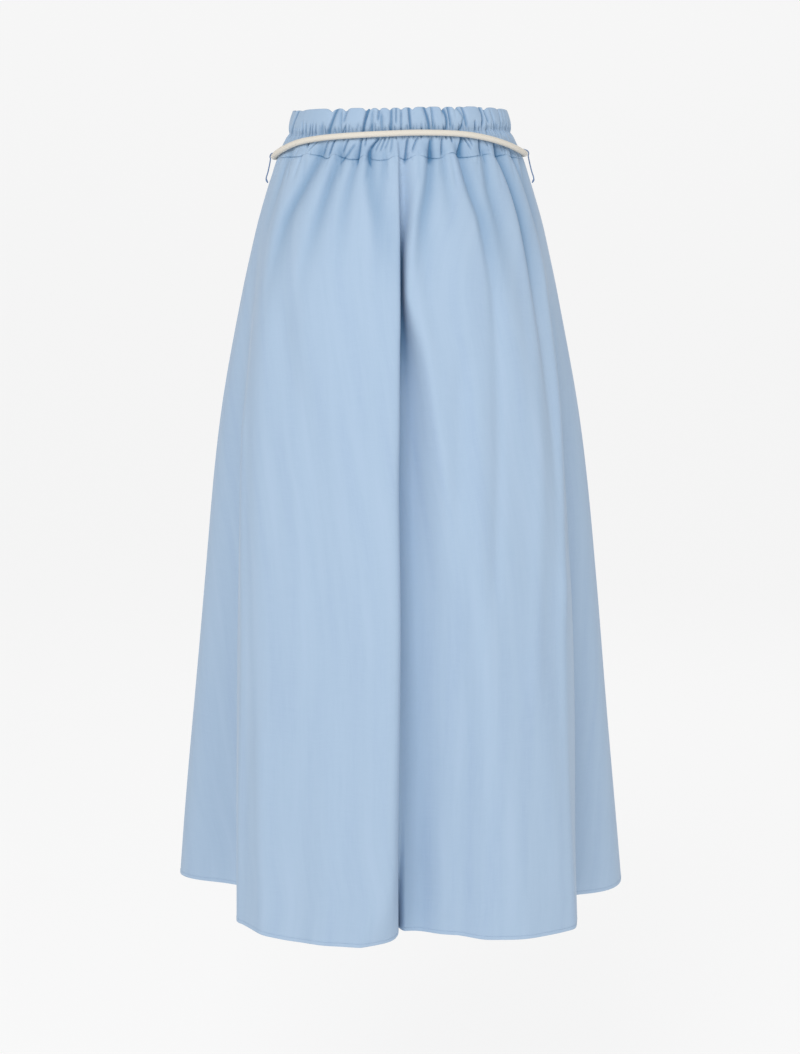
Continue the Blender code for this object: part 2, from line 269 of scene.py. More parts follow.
# The flutes open from the hip down, the back's beside the side seams and the front's all across
LEFT_BACK_FLUTE = (
    Flute(WAIST_SEAM, 196, 0.000, 9.0, 8.0, 0.000, 0.000),
    Flute(-0.400, 199, 0.026, 9.0, 8.0, -0.003, 0.000),
    Flute(HEM, 206, 0.084, 11.0, 10.0, -0.016, -0.003),
)
RIGHT_BACK_FLUTE = (
    Flute(WAIST_SEAM, 346, 0.000, 7.0, 8.0, 0.000, 0.000),
    Flute(-0.400, 342, 0.020, 7.0, 8.0, 0.004, 0.000),
    Flute(HEM, 336, 0.070, 9.0, 10.0, 0.009, -0.002),
)
RIGHT_FRONT_FLUTE = (
    Flute(WAIST_SEAM, 34, 0.000, 8.0, 8.0, 0.000, 0.000),
    Flute(-0.400, 33, 0.020, 8.0, 8.0, 0.003, 0.003),
    Flute(HEM, 31, 0.062, 10.0, 10.0, 0.010, 0.012),
)
MID_RIGHT_FRONT_FLUTE = (
    Flute(WAIST_SEAM, 73, 0.004, 4.0, 4.0, 0.000, 0.000),
    Flute(-0.300, 72, 0.014, 5.5, 6.0, 0.003, 0.003),
    Flute(HEM, 70, 0.046, 8.5, 9.5, 0.012, 0.009),
)
MID_LEFT_FRONT_FLUTE = (
    Flute(WAIST_SEAM, 108, 0.004, 4.0, 4.0, 0.000, 0.000),
    Flute(-0.300, 110, 0.016, 6.0, 5.5, 0.003, 0.004),
    Flute(HEM, 113, 0.052, 9.5, 8.0, 0.009, 0.014),
)
LEFT_FRONT_FLUTE = (
    Flute(WAIST_SEAM, 146, 0.000, 8.0, 8.0, 0.000, 0.000),
    Flute(-0.400, 148, 0.018, 8.0, 8.0, 0.003, 0.003),
    Flute(HEM, 151, 0.058, 10.0, 10.0, 0.012, 0.010),
)
FLUTES = (
    LEFT_BACK_FLUTE,
    RIGHT_BACK_FLUTE,
    RIGHT_FRONT_FLUTE,
    MID_RIGHT_FRONT_FLUTE,
    MID_LEFT_FRONT_FLUTE,
    LEFT_FRONT_FLUTE,
)

# The pleat is closed below the hip, and opens to its right further down
PLEAT = (
    Pleat(WAIST_SEAM, 271.0, 0.0090, 2.2, 3.4, 0.0030),
    Pleat(-0.100, 271.1, 0.0150, 2.8, 2.6, 0.0070),
    Pleat(-0.130, 270.9, 0.0185, 3.05, 1.7, 0.0101),
    Pleat(-0.150, 270.7, 0.0200, 3.2, 1.1, 0.0118),
    Pleat(-0.200, 270.5, 0.0245, 3.6, 0.9, 0.0153),
    Pleat(-0.220, 270.6, 0.0260, 3.8, 1.3, 0.0162),
    Pleat(-0.240, 270.8, 0.0270, 3.9, 2.0, 0.0162),
    Pleat(-0.260, 270.9, 0.0280, 4.0, 2.9, 0.0162),
    Pleat(-0.300, 271.1, 0.0300, 4.2, 4.0, 0.0166),
    Pleat(-0.350, 271.3, 0.0320, 4.3, 4.8, 0.0169),
    Pleat(-0.420, 271.4, 0.0345, 4.5, 5.8, 0.0172),
    Pleat(-0.600, 271.6, 0.0400, 4.8, 10.5, 0.0215),
    Pleat(HEM, 272.2, 0.0540, 5.0, 13.0, 0.0170),
)
# The lip lies this many spreads before the pleat's middle, and is this many spreads wide
LIP_REACH, LIP_SPREAD = 1.45, 0.42

# Soft folds that the gathering throws down from the waist seam, left to right across the back
HIGH_HIP, HIP = -0.080, -0.120
TROUGHS = (
    Trough(206, 204.5, 203.5, 203, -0.170, 3.0, 6.0, 6.0),
    Trough(229.5, 223.5, 217.5, 216, -0.270, 6.5, 5.0, 9.0),
    Trough(241, 238, 235.5, 231, -0.240, 6.0, 4.0, 7.0),
    Trough(250, 248, 247.5, 249, -0.210, 4.5, 4.0, 5.0),
    Trough(256.5, 257.5, 261, 266, -0.240, 5.0, 4.0, 8.0),
    Trough(263, 262.5, 262, 262, -0.130, 2.5, 3.0, 3.0),
    Trough(283.5, 281.5, 278.5, 276.5, -0.260, 6.5, 4.0, 6.0),
    Trough(290, 290, 290, 290, -0.150, 3.5, 4.0, 4.0),
    Trough(298, 300, 303, 306, -0.320, 6.2, 3.5, 8.0),
    Trough(311.5, 310.5, 311.5, 312, -0.250, 4.6, 5.0, 7.0),
    Trough(323, 326.3, 327, 323, -0.520, 8.5, 4.0, 8.0),
    Trough(337, 341, 342, 343, -0.220, 4.5, 4.0, 5.0),
    Trough(347, 346, 345.5, 345, -0.150, 3.0, 5.0, 5.0),
)

# Creases of the elastic casing across the back, left to right
CASING_CREASES = (
    Crease(20, 201.5, 197.0, 191.5, -24, 4.2, 1.2, 2.0),
    Crease(4, 209.5, 210.8, 212.0, -22, 1.6, 0.9, 1.2),
    Crease(2, 213.0, 214.5, 216.0, -22, 2.0, 0.9, 1.4),
    Crease(-3, 219.0, 219.8, 220.5, -21, 1.4, 0.8, 0.9),
    Crease(0, 222.0, 222.8, 223.5, -21, 1.2, 0.8, 0.9),
    Crease(-2, 225.0, 225.6, 226.0, -20, 1.4, 0.8, 0.9),
    Crease(0, 227.5, 228.0, 228.5, -20, 1.2, 0.8, 0.9),
    Crease(22, 237.2, 232.6, 231.4, -22, 3.2, 0.9, 3.2),
    Crease(15, 237.8, 238.8, 239.6, -20, 1.8, 2.2, 1.4),
    Crease(20, 242.5, 241.0, 240.0, -3, 2.0, 1.2, 1.6),
    Crease(22, 253.2, 251.8, 250.3, -24, 4.2, 0.8, 1.6),
    Crease(20, 254.8, 253.5, 252.0, -1, 2.6, 0.8, 0.8),
    Crease(16, 255.5, 255.7, 256.0, -20, 1.8, 1.6, 2.0),
    Crease(20, 259.3, 259.0, 258.6, -2, 2.2, 0.9, 1.1),
    Crease(12, 260.0, 260.8, 261.6, -22, 2.2, 1.6, 2.0),
    Crease(19, 265.3, 265.5, 265.5, -22, 2.8, 1.2, 1.8),
    Crease(20, 268.0, 268.0, 268.0, -7, 2.2, 0.8, 0.9),
    Crease(17, 270.5, 270.5, 270.5, -20, 2.0, 0.9, 1.0),
    Crease(20, 274.2, 274.8, 275.6, -20, 3.2, 1.0, 1.6),
    Crease(20, 281.0, 284.4, 284.6, -21, 3.2, 2.2, 0.8),
    Crease(18, 286.3, 286.6, 287.2, -20, 2.2, 0.9, 1.8),
    Crease(20, 290.4, 294.4, 291.2, -21, 3.4, 1.6, 0.9),
    Crease(20, 295.2, 295.8, 296.6, -13, 2.8, 0.9, 1.8),
    Crease(19, 299.0, 302.0, 305.0, -1, 2.0, 1.2, 1.2),
    Crease(20, 302.5, 305.3, 305.2, -12, 2.6, 1.6, 1.2),
    Crease(4, 305.0, 302.5, 299.6, -20, 2.0, 1.6, 1.2),
    Crease(20, 315.0, 317.4, 315.4, -12, 3.6, 0.9, 1.2),
    Crease(18, 319.2, 320.4, 322.0, -7, 2.6, 0.9, 2.2),
    Crease(14, 325.0, 326.5, 328.0, -20, 1.4, 1.4, 1.4),
    Crease(16, 335.0, 334.0, 333.0, -22, 1.3, 1.0, 1.2),
    Crease(15, 339.5, 338.4, 337.0, -22, 1.3, 1.0, 1.2),
    Crease(16, 344.0, 343.0, 341.5, -22, 1.3, 1.0, 1.2),
    Crease(14, 349.5, 349.0, 348.0, -22, 1.3, 1.0, 1.2),
    Crease(16, 355.0, 354.6, 354.0, -22, 1.2, 1.0, 1.2),
)

# Creases between the stitch line and the waist seam across the back, left to right
BAND_CREASES = (
    Crease(-18, 219.0, 219.7, 220.2, -38, 2.6, 0.9, 1.4),
    Crease(-22, 227.0, 224.2, 221.4, -44, 1.6, 0.8, 0.9),
    Crease(-20, 233.2, 232.0, 230.8, -46, 2.0, 1.0, 1.6),
    Crease(-18, 237.2, 236.0, 235.3, -46, 2.8, 0.9, 1.4),
    Crease(-18, 244.6, 243.4, 242.0, -42, 2.4, 0.9, 1.2),
    Crease(-24, 249.0, 245.5, 241.0, -54, 2.2, 1.2, 1.8),
    Crease(-16, 251.3, 251.0, 250.4, -58, 3.0, 1.6, 0.9),
    Crease(-17, 253.7, 253.5, 253.3, -36, 2.0, 0.8, 0.8),
    Crease(-17, 260.4, 258.0, 255.8, -36, 2.4, 0.8, 0.9),
    Crease(-17, 262.0, 255.8, 257.8, -58, 2.8, 1.0, 1.6),
    Crease(-17, 261.8, 260.0, 258.2, -38, 2.0, 0.8, 0.8),
    Crease(-17, 263.4, 262.0, 260.6, -38, 2.2, 0.8, 0.9),
    Crease(-17, 265.3, 264.1, 262.9, -36, 1.8, 0.8, 0.8),
    Crease(-18, 266.2, 266.0, 265.5, -42, 1.8, 0.9, 0.9),
    Crease(-16, 274.0, 272.8, 271.7, -54, 3.2, 1.0, 1.2),
    Crease(-18, 278.6, 277.0, 275.2, -42, 2.6, 1.0, 1.2),
    Crease(-16, 285.0, 283.8, 282.8, -56, 3.2, 1.0, 3.4),
    Crease(-16, 291.0, 290.0, 289.2, -46, 2.6, 0.9, 0.9),
    Crease(-16, 295.4, 295.5, 295.8, -32, 2.6, 0.8, 0.8),
    Crease(-14, 302.4, 299.5, 297.2, -50, 3.8, 0.9, 3.2),
    Crease(-18, 302.6, 304.0, 305.6, -38, 2.4, 0.8, 0.9),
    Crease(-18, 305.2, 306.0, 307.0, -34, 1.8, 0.9, 0.9),
    Crease(-18, 312.6, 311.5, 311.0, -48, 3.2, 0.8, 1.0),
    Crease(-20, 315.4, 316.2, 317.0, -38, 1.8, 0.8, 0.8),
    Crease(-20, 325.5, 323.0, 321.3, -54, 3.4, 0.9, 2.0),
    Crease(-24, 328.8, 328.4, 328.0, -42, 1.8, 0.8, 0.8),
    Crease(-26, 332.0, 330.6, 329.8, -46, 1.8, 0.8, 0.8),
    Crease(-34, 338.0, 337.4, 337.0, -56, 2.8, 1.0, 1.2),
    Crease(-30, 336.5, 339.5, 343.0, -46, 1.8, 0.8, 0.9),
)

TOP_NOTCHES = (
    Notch(193, 2.6, 3.0),
    Notch(206, 1.2, 5.0),
    Notch(232, 4.2, 3.0),
    Notch(240.6, 3.6, 2.6),
    Notch(252, 3.2, 1.8),
    Notch(254.6, 2.0, 1.4),
    Notch(259.2, 2.8, 1.8),
    Notch(264.6, 2.8, 2.0),
    Notch(270.6, 2.6, 2.2),
    Notch(276.4, 3.0, 1.8),
    Notch(283.8, 1.6, 1.6),
    Notch(292.4, 4.0, 1.8),
    Notch(299.8, 3.4, 1.8),
    Notch(305.5, 1.0, 2.0),
    Notch(315.6, 1.8, 1.6),
    Notch(321, 3.4, 2.6),
    Notch(334, 1.6, 3.0),
)

# Long folds and ridges of the lower skirt, left to right across the back, as heights and angles
LONG_FOLDS = (
    LongFold(-3.5, 7.0, ((-0.300, 208), (-0.442, 215), (-0.617, 221), (-0.780, 223), (HEM, 225))),
    LongFold(
        3.4, 16.0,
        ((-0.180, 224), (-0.237, 227), (-0.377, 242), (-0.547, 245.5), (-0.722, 246.5), (HEM, 245)),
    ),
    LongFold(-2.6, 9.0, ((-0.660, 231), (-0.742, 232), (HEM, 235.5))),
    LongFold(-2.2, 11.0, ((-0.550, 262), (-0.662, 262.5), (-0.772, 263), (HEM, 260))),
    LongFold(-2.6, 14.0, ((-0.110, 263), (-0.142, 264), (-0.252, 264.5), (-0.377, 265), (-0.460, 265.5))),
    LongFold(
        -2.4, 6.0,
        (
            (-0.055, 279.5), (-0.102, 276.2), (-0.152, 274.8),
            (-0.207, 276.6), (-0.322, 280.5), (-0.477, 284.5),
        ),
    ),
    LongFold(-2.6, 12.0, ((-0.790, 279), (-0.867, 280), (HEM, 280))),
    LongFold(2.8, 8.0, ((-0.250, 290.5), (-0.322, 289), (-0.457, 287.5), (-0.550, 287.5))),
    LongFold(-3.0, 10.0, ((-0.280, 295), (-0.357, 294), (-0.592, 291), (-0.680, 291))),
    LongFold(2.6, 10.0, ((-0.520, 288.5), (-0.592, 288), (-0.777, 287), (HEM, 286))),
    LongFold(-2.8, 10.0, ((-0.530, 295), (-0.597, 294.5), (-0.777, 293), (HEM, 291.5))),
    LongFold(2.6, 6.0, ((-0.160, 306), (-0.252, 303.5), (-0.502, 298), (-0.580, 297))),
    LongFold(-2.4, 8.0, ((-0.190, 321), (-0.267, 320), (-0.612, 309.5), (-0.700, 308))),
    LongFold(
        -3.6, 6.0,
        ((-0.120, 338), (-0.187, 335), (-0.267, 333), (-0.387, 327.5), (-0.512, 323), (-0.600, 321)),
    ),
    LongFold(3.4, 7.0, ((-0.180, 343), (-0.247, 341), (-0.352, 335), (-0.467, 330.5), (-0.560, 328))),
    LongFold(-3.0, 7.0, ((-0.500, 322.5), (-0.617, 320), (-0.780, 318), (HEM, 317))),
)

# The left lobe's corner turns in towards the pleat below its lowest third, along a slanting line
TURN_IN = (
    TurnIn(-0.740, 270.0, 0.000),
    TurnIn(-0.800, 268.5, 0.006),
    TurnIn(-0.867, 265.0, 0.015),
    TurnIn(HEM, 260.5, 0.028),
)
# Degrees over which it turns, the angle where it has ended, and the degrees that it takes to end
TURN_IN_WIDTH, TURN_IN_END, TURN_IN_FADE = 5.0, 271.5, 4.5

# The waist seam across the back, left to right
SEAM_POINTS = (
    SeamPoint(192, 0.0, 0.0),
    SeamPoint(198, 0.8, 0.6),
    SeamPoint(209, 0.8, 0.9),
    SeamPoint(217, 1.0, 0.8),
    SeamPoint(221, 4.0, 0.0),
    SeamPoint(225, 3.0, 0.6),
    SeamPoint(230, 0.8, 1.0),
    SeamPoint(235, -1.8, 1.0),
    SeamPoint(238, 3.0, 0.0),
    SeamPoint(242, -0.8, 0.9),
    SeamPoint(250, -3.4, 1.0),
    SeamPoint(253.5, 1.6, 0.0),
    SeamPoint(257.5, -3.6, 0.6),
    SeamPoint(264.5, -3.6, 0.6),
    SeamPoint(267, 0.4, 0.0),
    SeamPoint(269.5, -1.2, 0.8),
    SeamPoint(272.5, -3.6, 1.0),
    SeamPoint(278, 1.6, 0.0),
    SeamPoint(283.5, -1.8, 1.0),
    SeamPoint(289, -1.6, 0.5),
    SeamPoint(292, 3.0, 0.0),
    SeamPoint(294.5, 4.4, 0.8),
    SeamPoint(296.6, 3.4, 0.8),
    SeamPoint(299, -0.8, 1.0),
    SeamPoint(309.5, 1.6, 0.7),
    SeamPoint(312, 1.8, 0.2),
    SeamPoint(314, 3.2, 0.7),
    SeamPoint(317.5, 3.8, 0.0),
    SeamPoint(321.5, 0.8, 1.0),
    SeamPoint(328, 3.0, 0.8),
    SeamPoint(331.5, 3.6, 0.0),
    SeamPoint(335, 0.8, 1.0),
    SeamPoint(340, 0.6, 0.7),
    SeamPoint(348, 0.0, 0.0),
)

# How the elastic casing sags across the back, left to right
WAIST_POINTS = (
    WaistPoint(180, -1.2, -1.0),
    WaistPoint(190, -2.2, -3.6),
    WaistPoint(205, -2.4, -5.6),
    WaistPoint(220, -2.2, -5.8),
    WaistPoint(240, -2.2, -5.0),
    WaistPoint(262, -2.4, -4.4),
    WaistPoint(285, -1.0, -4.0),
    WaistPoint(296, -0.8, -3.2),
    WaistPoint(310, 0.2, -1.8),
    WaistPoint(325, 0.0, 0.2),
    WaistPoint(345, -0.6, 1.0),
    WaistPoint(360, -1.2, -1.0),
)

# The rope's height all round, from the right side seam back to it
ROPE_LINE = (
    (360, -0.0405),
    (352, -0.0397),
    (344, -0.0378),
    (328, -0.0300),
    (314, -0.0238),
    (300, -0.0200),
    (280, -0.0190),
    (262, -0.0204),
    (240, -0.0229),
    (228, -0.0250),
    (214, -0.0290),
    (198, -0.0374),
    (189, -0.0415),
    (180, -0.0440),
    (90, -0.0400),
    (0, -0.0405),
)

# How far the hem rises above its mean height, in millimetres, from the right side seam back to it
HEM_LINE = (
    (360, -3.0),
    (350, -4.5),
    (340, -4.0),
    (330, -4.2),
    (318, -6.8),
    (310, -5.6),
    (300, -3.4),
    (292, -2.2),
    (284, 0.0),
    (262, 0.0),
    (250, -1.6),
    (243, -2.8),
    (235, 0.0),
    (228, 2.5),
    (214, 4.5),
    (204, 6.0),
    (190, 6.0),
    (180, 5.5),
    (150, 1.0),
    (90, 0.0),
    (30, 0.0),
    (0, -3.0),
)


class Spot(NamedTuple):
    """Places on the outline: points, directions inwards and round it, and metres for each degree."""

    point: np.ndarray
    inward: np.ndarray
    along: np.ndarray
    degree: np.ndarray


def small_tucks(
    seed: int,
    middle: float,
    reach: tuple[float, float],
    every: float,
    depth: tuple[float, float],
    width: tuple[float, float],
) -> tuple[Crease, ...]:
    """Draws the row of small tucks that a line of gathering stitches pulls up all the way round.

    Args:
        seed: the seed of the draws.
        middle: the stitches' height in millimetres.
        reach: the least and most that a tuck reaches above and below them, in millimetres.
        every: degrees from one tuck to the next, on average.
        depth: the least and greatest depth in millimetres.
        width: the least and greatest width of one side in millimetres.

    Returns:
        A crease for each tuck.
    """
    draw = np.random.default_rng(seed)
    count = round(360 / every)
    unevenness, slant = 0.32, 0.7
    made = []
    for place in range(count):
        angle = (place + draw.normal(0, unevenness)) * every
        lean = draw.normal(0, slant)
        sides = draw.uniform(*width, 2)
        made.append(
            Crease(
                middle + draw.uniform(*reach),
                angle + lean,
                angle,
                angle - lean,
                middle - draw.uniform(*reach),
                draw.uniform(*depth),
                sides[0],
                sides[1],
            )
        )
    return tuple(made)


@dataclass(frozen=True)
class SkirtForm:
    """Where every point of the worn skirt's cloth lies, from the angle round it and the height."""

    pinch: float = 1.6 * MM
    pinch_reach: float = 3.5 * MM
    puff: float = 1.7 * MM
    deepest_crease: float = 5.4
    casing_strength: float = 1.4
    band_strength: float = 1.35
    trough_strength: float = 1.12
    crease_width: float = 1.18
    crispness: float = 0.8
    trough_spread: float = 0.7
    trough_rounding: float = 1.6
    furthest: float = 9.0
    crease_end: float = 0.25
    press: float = 0.9 * MM
    press_reach: float = 2.0 * MM
    ditch: float = 1.1 * MM
    ditch_reach: float = 0.7 * MM
    side_ditch: float = 0.9 * MM
    seam_reach: float = 12.5 * MM
    stitches_reach: float = 24 * MM
    hem_reach: float = 160 * MM
    folds_at_stitches: float = 0.45
    fold_ends: float = 70 * MM
    # Painted shade for the cloth's colour: the pleat's slot and valley, creases, troughs, the waist seam
    # and the gathered band
    slot_top: float = -0.120
    slot_fade: float = 0.050
    slot_end: float = -0.325
    slot_tail: float = 0.100
    slot_width: float = 0.55
    slot_depth: float = 0.85
    valley_width: float = 0.32
    valley_shade: float = 0.17
    full_crease: float = 3.6 * MM
    creased_shade: float = 0.8
    full_fold: float = 14 * MM
    folded_end: float = -0.26
    folded_reach: float = 0.16
    seam_shade: float = 0.7
    gathered_shade: float = 0.10
    gathered_reach: float = 4 * MM
    turn_roundness: float = 0.65
    stitch_tucks: tuple[Crease, ...] = small_tucks(
        seed=7, middle=STITCH_LINE / MM, reach=(6.0, 14.0), every=2.0, depth=(1.4, 3.6), width=(0.6, 1.1)
    )
    seam_tucks: tuple[Crease, ...] = small_tucks(
        seed=11, middle=WAIST_SEAM / MM, reach=(3.0, 12.0), every=3.4, depth=(0.4, 1.4), width=(0.8, 1.6)
    )
    hip_tucks: tuple[Crease, ...] = small_tucks(
        seed=19, middle=WAIST_SEAM / MM - 14, reach=(12.0, 26.0), every=7.0, depth=(0.5, 1.4),
        width=(1.8, 4.0),
    )

    def outline(self, angle: np.ndarray, height: np.ndarray) -> Spot:
        """The outline without folds at each angle and height.

        Args:
            angle: angles round the skirt, in degrees.
            height: heights in metres.

        Returns:
            The places on the outline.
        """
        half_width, back, front = table_columns(SECTIONS, height, Section._fields[1:])
        turn = np.radians(angle)
        depth = np.where(np.sin(turn) > 0, front, back)
        point = np.stack((half_width * np.cos(turn), depth * np.sin(turn), height + 0 * angle), -1)
        step = np.stack((-half_width * np.sin(turn), depth * np.cos(turn), 0 * angle + 0 * height), -1)
        speed = np.linalg.norm(step, axis=-1)
        along = step / speed[..., None]
        inward = np.stack((-along[..., 1], along[..., 0], 0 * speed), -1)
        return Spot(point, inward, along, speed * math.radians(1))

    def plain_face(self, angle: np.ndarray, height: np.ndarray) -> tuple[np.ndarray, np.ndarray]:
        """Points on the outline without folds, and the directions straight out of the cloth there.

        Args:
            angle: angles round the skirt, in degrees.
            height: heights in metres.

        Returns:
            The points and the unit directions.
        """
        spot = self.outline(angle, height)
        up = self.outline(angle, height + MM).point - spot.point
        out = np.cross(spot.along, up)
        return spot.point, out / np.linalg.norm(out, axis=-1, keepdims=True)

    def deep_folds(self, angle: np.ndarray, height: np.ndarray) -> tuple[np.ndarray, np.ndarray]:
        """How far the flutes and the pleat move the cloth inwards and round, in metres.

        Args:
            angle: angles round the skirt, in degrees.
            height: heights in metres.

        Returns:
            The way inwards and the way round at each point.
        """
        centre, depth, before, after, lip = table_columns(PLEAT, height, Pleat._fields[1:])
        turn = turn_between(angle, centre)
        reach = turn / before
        inward = np.where(turn > 0, depth * bell(turn / after), depth * np.exp(-(reach**4) / 2))
        around = np.where(turn > 0, 0.0, lip * bell((reach + LIP_REACH) / LIP_SPREAD))
        inward = inward + self.turned_in(angle, height)
        for rows in FLUTES:
            columns = table_columns(rows, height, Flute._fields[1:])
            centre, depth, before, after, tuck_before, tuck_after = columns
            turn = turn_between(angle, centre)
            reach = turn / np.where(turn < 0, before, after)
            inward = inward + depth * bell(reach)
            tuck = np.where(turn < 0, tuck_before, tuck_after)
            # The root of e makes the lip's profile 1 where it is greatest
            around = around - tuck * reach * bell(reach) * math.exp(0.5)
        return inward, around

    def below_stitches(self, height: np.ndarray) -> np.ndarray:
        """0 at the stitch line and above, 1 at the waist seam and below."""
        return ease((STITCH_LINE - height) / (STITCH_LINE - WAIST_SEAM))

    def trough_depth(self, angle: np.ndarray, height: np.ndarray, degree: np.ndarray) -> np.ndarray:
        """Inward depth in metres of the soft folds, crisp at the seam and rounder lower down.

        Args:
            angle: angles round the skirt, in degrees.
            height: heights in metres.
            degree: metres for each degree there.

        Returns:
            The depth at each point.
        """
        below = self.below_stitches(height)
        total = np.zeros_like(angle)
        for trough in TROUGHS:
            share = np.clip((height - WAIST_SEAM) / (trough.end_height - WAIST_SEAM), 0.0, 1.0)
            in_band = blend(self.folds_at_stitches, 1.0, below) * below
            strength = np.where(height > WAIST_SEAM, in_band, 1 - ease(share))
            rows = (WAIST_SEAM, HIGH_HIP, HIP, trough.end_height)
            path = curve_through(rows, trough[:4], height)
            for turned in (0.0, BACK_TO_FRONT):
                away = turn_between(angle, path - turned) * degree / MM
                width = np.where(away < 0, trough.before, trough.after)
                reach = away / width / (1 + self.trough_spread * share)
                rounded = ease(self.trough_rounding * share)
                profile = blend(crisp(self.crispness * reach), bell(reach), rounded)
                total += self.trough_strength * trough.depth * MM * strength * profile
        return total

    def long_folds(self, angle: np.ndarray, height: np.ndarray, degree: np.ndarray) -> np.ndarray:
        """Inward depth in metres of the lower skirt's long soft folds and ridges.

        Args:
            angle: angles round the skirt, in degrees.
            height: heights in metres.
            degree: metres for each degree there.

        Returns:
            The depth at each point.
        """
        total = np.zeros_like(angle)
        for fold in LONG_FOLDS:
            heights, angles = zip(*fold.path)
            path = curve_through(heights, angles, height)
            into = ease((heights[0] - height) / self.fold_ends)
            out_of = 1.0 if heights[-1] == HEM else ease((height - heights[-1]) / self.fold_ends)
            for turned in (0.0, BACK_TO_FRONT):
                away = turn_between(angle, path - turned) * degree / MM
                total += fold.depth * MM * into * out_of * bell(away / fold.width)
        return total

    def turned_in(self, angle: np.ndarray, height: np.ndarray) -> np.ndarray:
        """Inward depth in metres of the left lobe's turn towards the pleat, near the hem.

        Args:
            angle: angles round the skirt, in degrees.
            height: heights in metres.

        Returns:
            The depth at each point.
        """
        start, depth = table_columns(TURN_IN, height, ("angle", "depth"))
        quarter = math.pi / 2 * np.clip((angle - start) / TURN_IN_WIDTH, 0, 1)
        rounded = blend(np.sin(quarter), 1 - np.cos(quarter), self.turn_roundness)
        return depth * rounded * ease((TURN_IN_END - angle) / TURN_IN_FADE)

    def crease_depth(
        self,
        creases: Sequence[Crease],
        angle: np.ndarray,
        height: np.ndarray,
        degree: np.ndarray,
        repeat: bool,
    ) -> np.ndarray:
        """Inward depth of a table of creases.

        Args:
            creases: the table.
            angle: angles round the skirt, in degrees.
            height: heights in metres.
            degree: metres for each degree there.
            repeat: whether the table is for the back and comes again across the front.

        Returns:
            The depth at each point, in millimetres.
        """
        total = np.zeros_like(angle)
        for crease in creases:
            far = self.furthest * (crease.before + crease.after)
            down = (crease.top - height / MM) / (crease.top - crease.bottom)
            for turned in (0.0, BACK_TO_FRONT) if repeat else (0.0,):
                rough = np.abs(turn_between(angle, crease.middle_angle - turned)) * degree / MM
                near = (down > 0) & (down < 1) & (rough < far)
                if not near.any():
                    continue
                share = down[near]
                # The parabola through the crease's three angles
                path = (
                    crease.top_angle * (1 - share) * (1 - 2 * share)
                    + crease.middle_angle * 4 * share * (1 - share)
                    + crease.bottom_angle * share * (2 * share - 1)
                )
                away = turn_between(angle[near], path - turned) * degree[near] / MM
                reach = away / np.where(away < 0, crease.before, crease.after)
                ends = ease(share / self.crease_end) * ease((1 - share) / self.crease_end)
                total[near] += crease.depth * ends * crisp(reach)
        return total

    def small_folds(self, angle: np.ndarray, height: np.ndarray, degree: np.ndarray) -> np.ndarray:
        """Inward depth in metres of the casing's and band's creases and of all the small tucks.

        Args:
            angle: angles round the skirt, in degrees.
            height: heights in metres.
            degree: metres for each degree there.

        Returns:
            The depth at each point.
        """
        wide = degree / self.crease_width
        total = self.casing_strength * self.crease_depth(CASING_CREASES, angle, height, wide, True)
        total += self.band_strength * self.crease_depth(BAND_CREASES, angle, height, wide, True)
        for tucks in (self.stitch_tucks, self.seam_tucks, self.hip_tucks):
            total += self.crease_depth(tucks, angle, height, degree, False)
        return self.deepest_crease * np.tanh(total / self.deepest_crease) * MM

    def unevenness(self, angle: np.ndarray, height: np.ndarray) -> np.ndarray:
        """Inward depth in metres of the slow waves that no ironed cloth is quite without.

        Args:
            angle: angles round the skirt, in degrees.
            height: heights in metres.

        Returns:
            The depth at each point.
        """
        seed, waves, fade_in = 5, 14, 0.12
        waves_round, radians_down, size_in_mm = (5, 26), (2, 14), (0.15, 0.42)
        draw = np.random.default_rng(seed)
        total = np.zeros_like(angle)
        for _ in range(waves):
            around, down = draw.integers(*waves_round), draw.uniform(*radians_down)
            start, size = draw.uniform(0, 2 * math.pi), draw.uniform(*size_in_mm)
            total += size * np.cos(np.radians(angle) * around + down * height + start)
        return total * MM * ease((WAIST_SEAM - height) / fade_in)

    def read_back(self, rows: Sequence[Any], name: str, angle: np.ndarray) -> np.ndarray:
        """A column of a table that runs across the back, and again across the front, at each angle.

        Args:
            rows: the table.
            name: the column.
            angle: angles round the skirt, in degrees.

        Returns:
            The column's value at each angle.
        """
        places = [-row.angle for row in rows]
        behind = BACK_TO_FRONT + angle % BACK_TO_FRONT
        return curve_through(places, [getattr(row, name) for row in rows], -behind)

    def lift(self, angle: np.ndarray, height: np.ndarray) -> np.ndarray:
        """How far the sagging waist and the uneven waist seam raise the cloth, in metres.

        Args:
            angle: angles round the skirt, in degrees.
            height: heights in metres.

        Returns:
            The rise at each point.
        """
        seam = self.read_back(SEAM_POINTS, "rise", angle) * bell((height - WAIST_SEAM) / self.seam_reach)
        top = self.read_back(WAIST_POINTS, "top", angle)
        stitches = self.read_back(WAIST_POINTS, "stitches", angle)
        above = blend(stitches, top, ease((height - STITCH_LINE) / (TOP_EDGE - STITCH_LINE)))
        below = stitches * ease(1 - (STITCH_LINE - height) / self.stitches_reach)
        hem = hem_rise(angle) * ease(1 - (height - HEM) / self.hem_reach)
        return (seam + hem + np.where(height > STITCH_LINE, above, below)) * MM

    def seam_line(self, angle: np.ndarray, height: np.ndarray) -> np.ndarray:
        """0 away from the waist seam and on its ridges, 1 in its ditch where its line shows."""
        shows = np.clip(self.read_back(SEAM_POINTS, "shows", angle), 0, 1)
        return shows * np.exp(-np.abs(height - WAIST_SEAM) / self.ditch_reach)

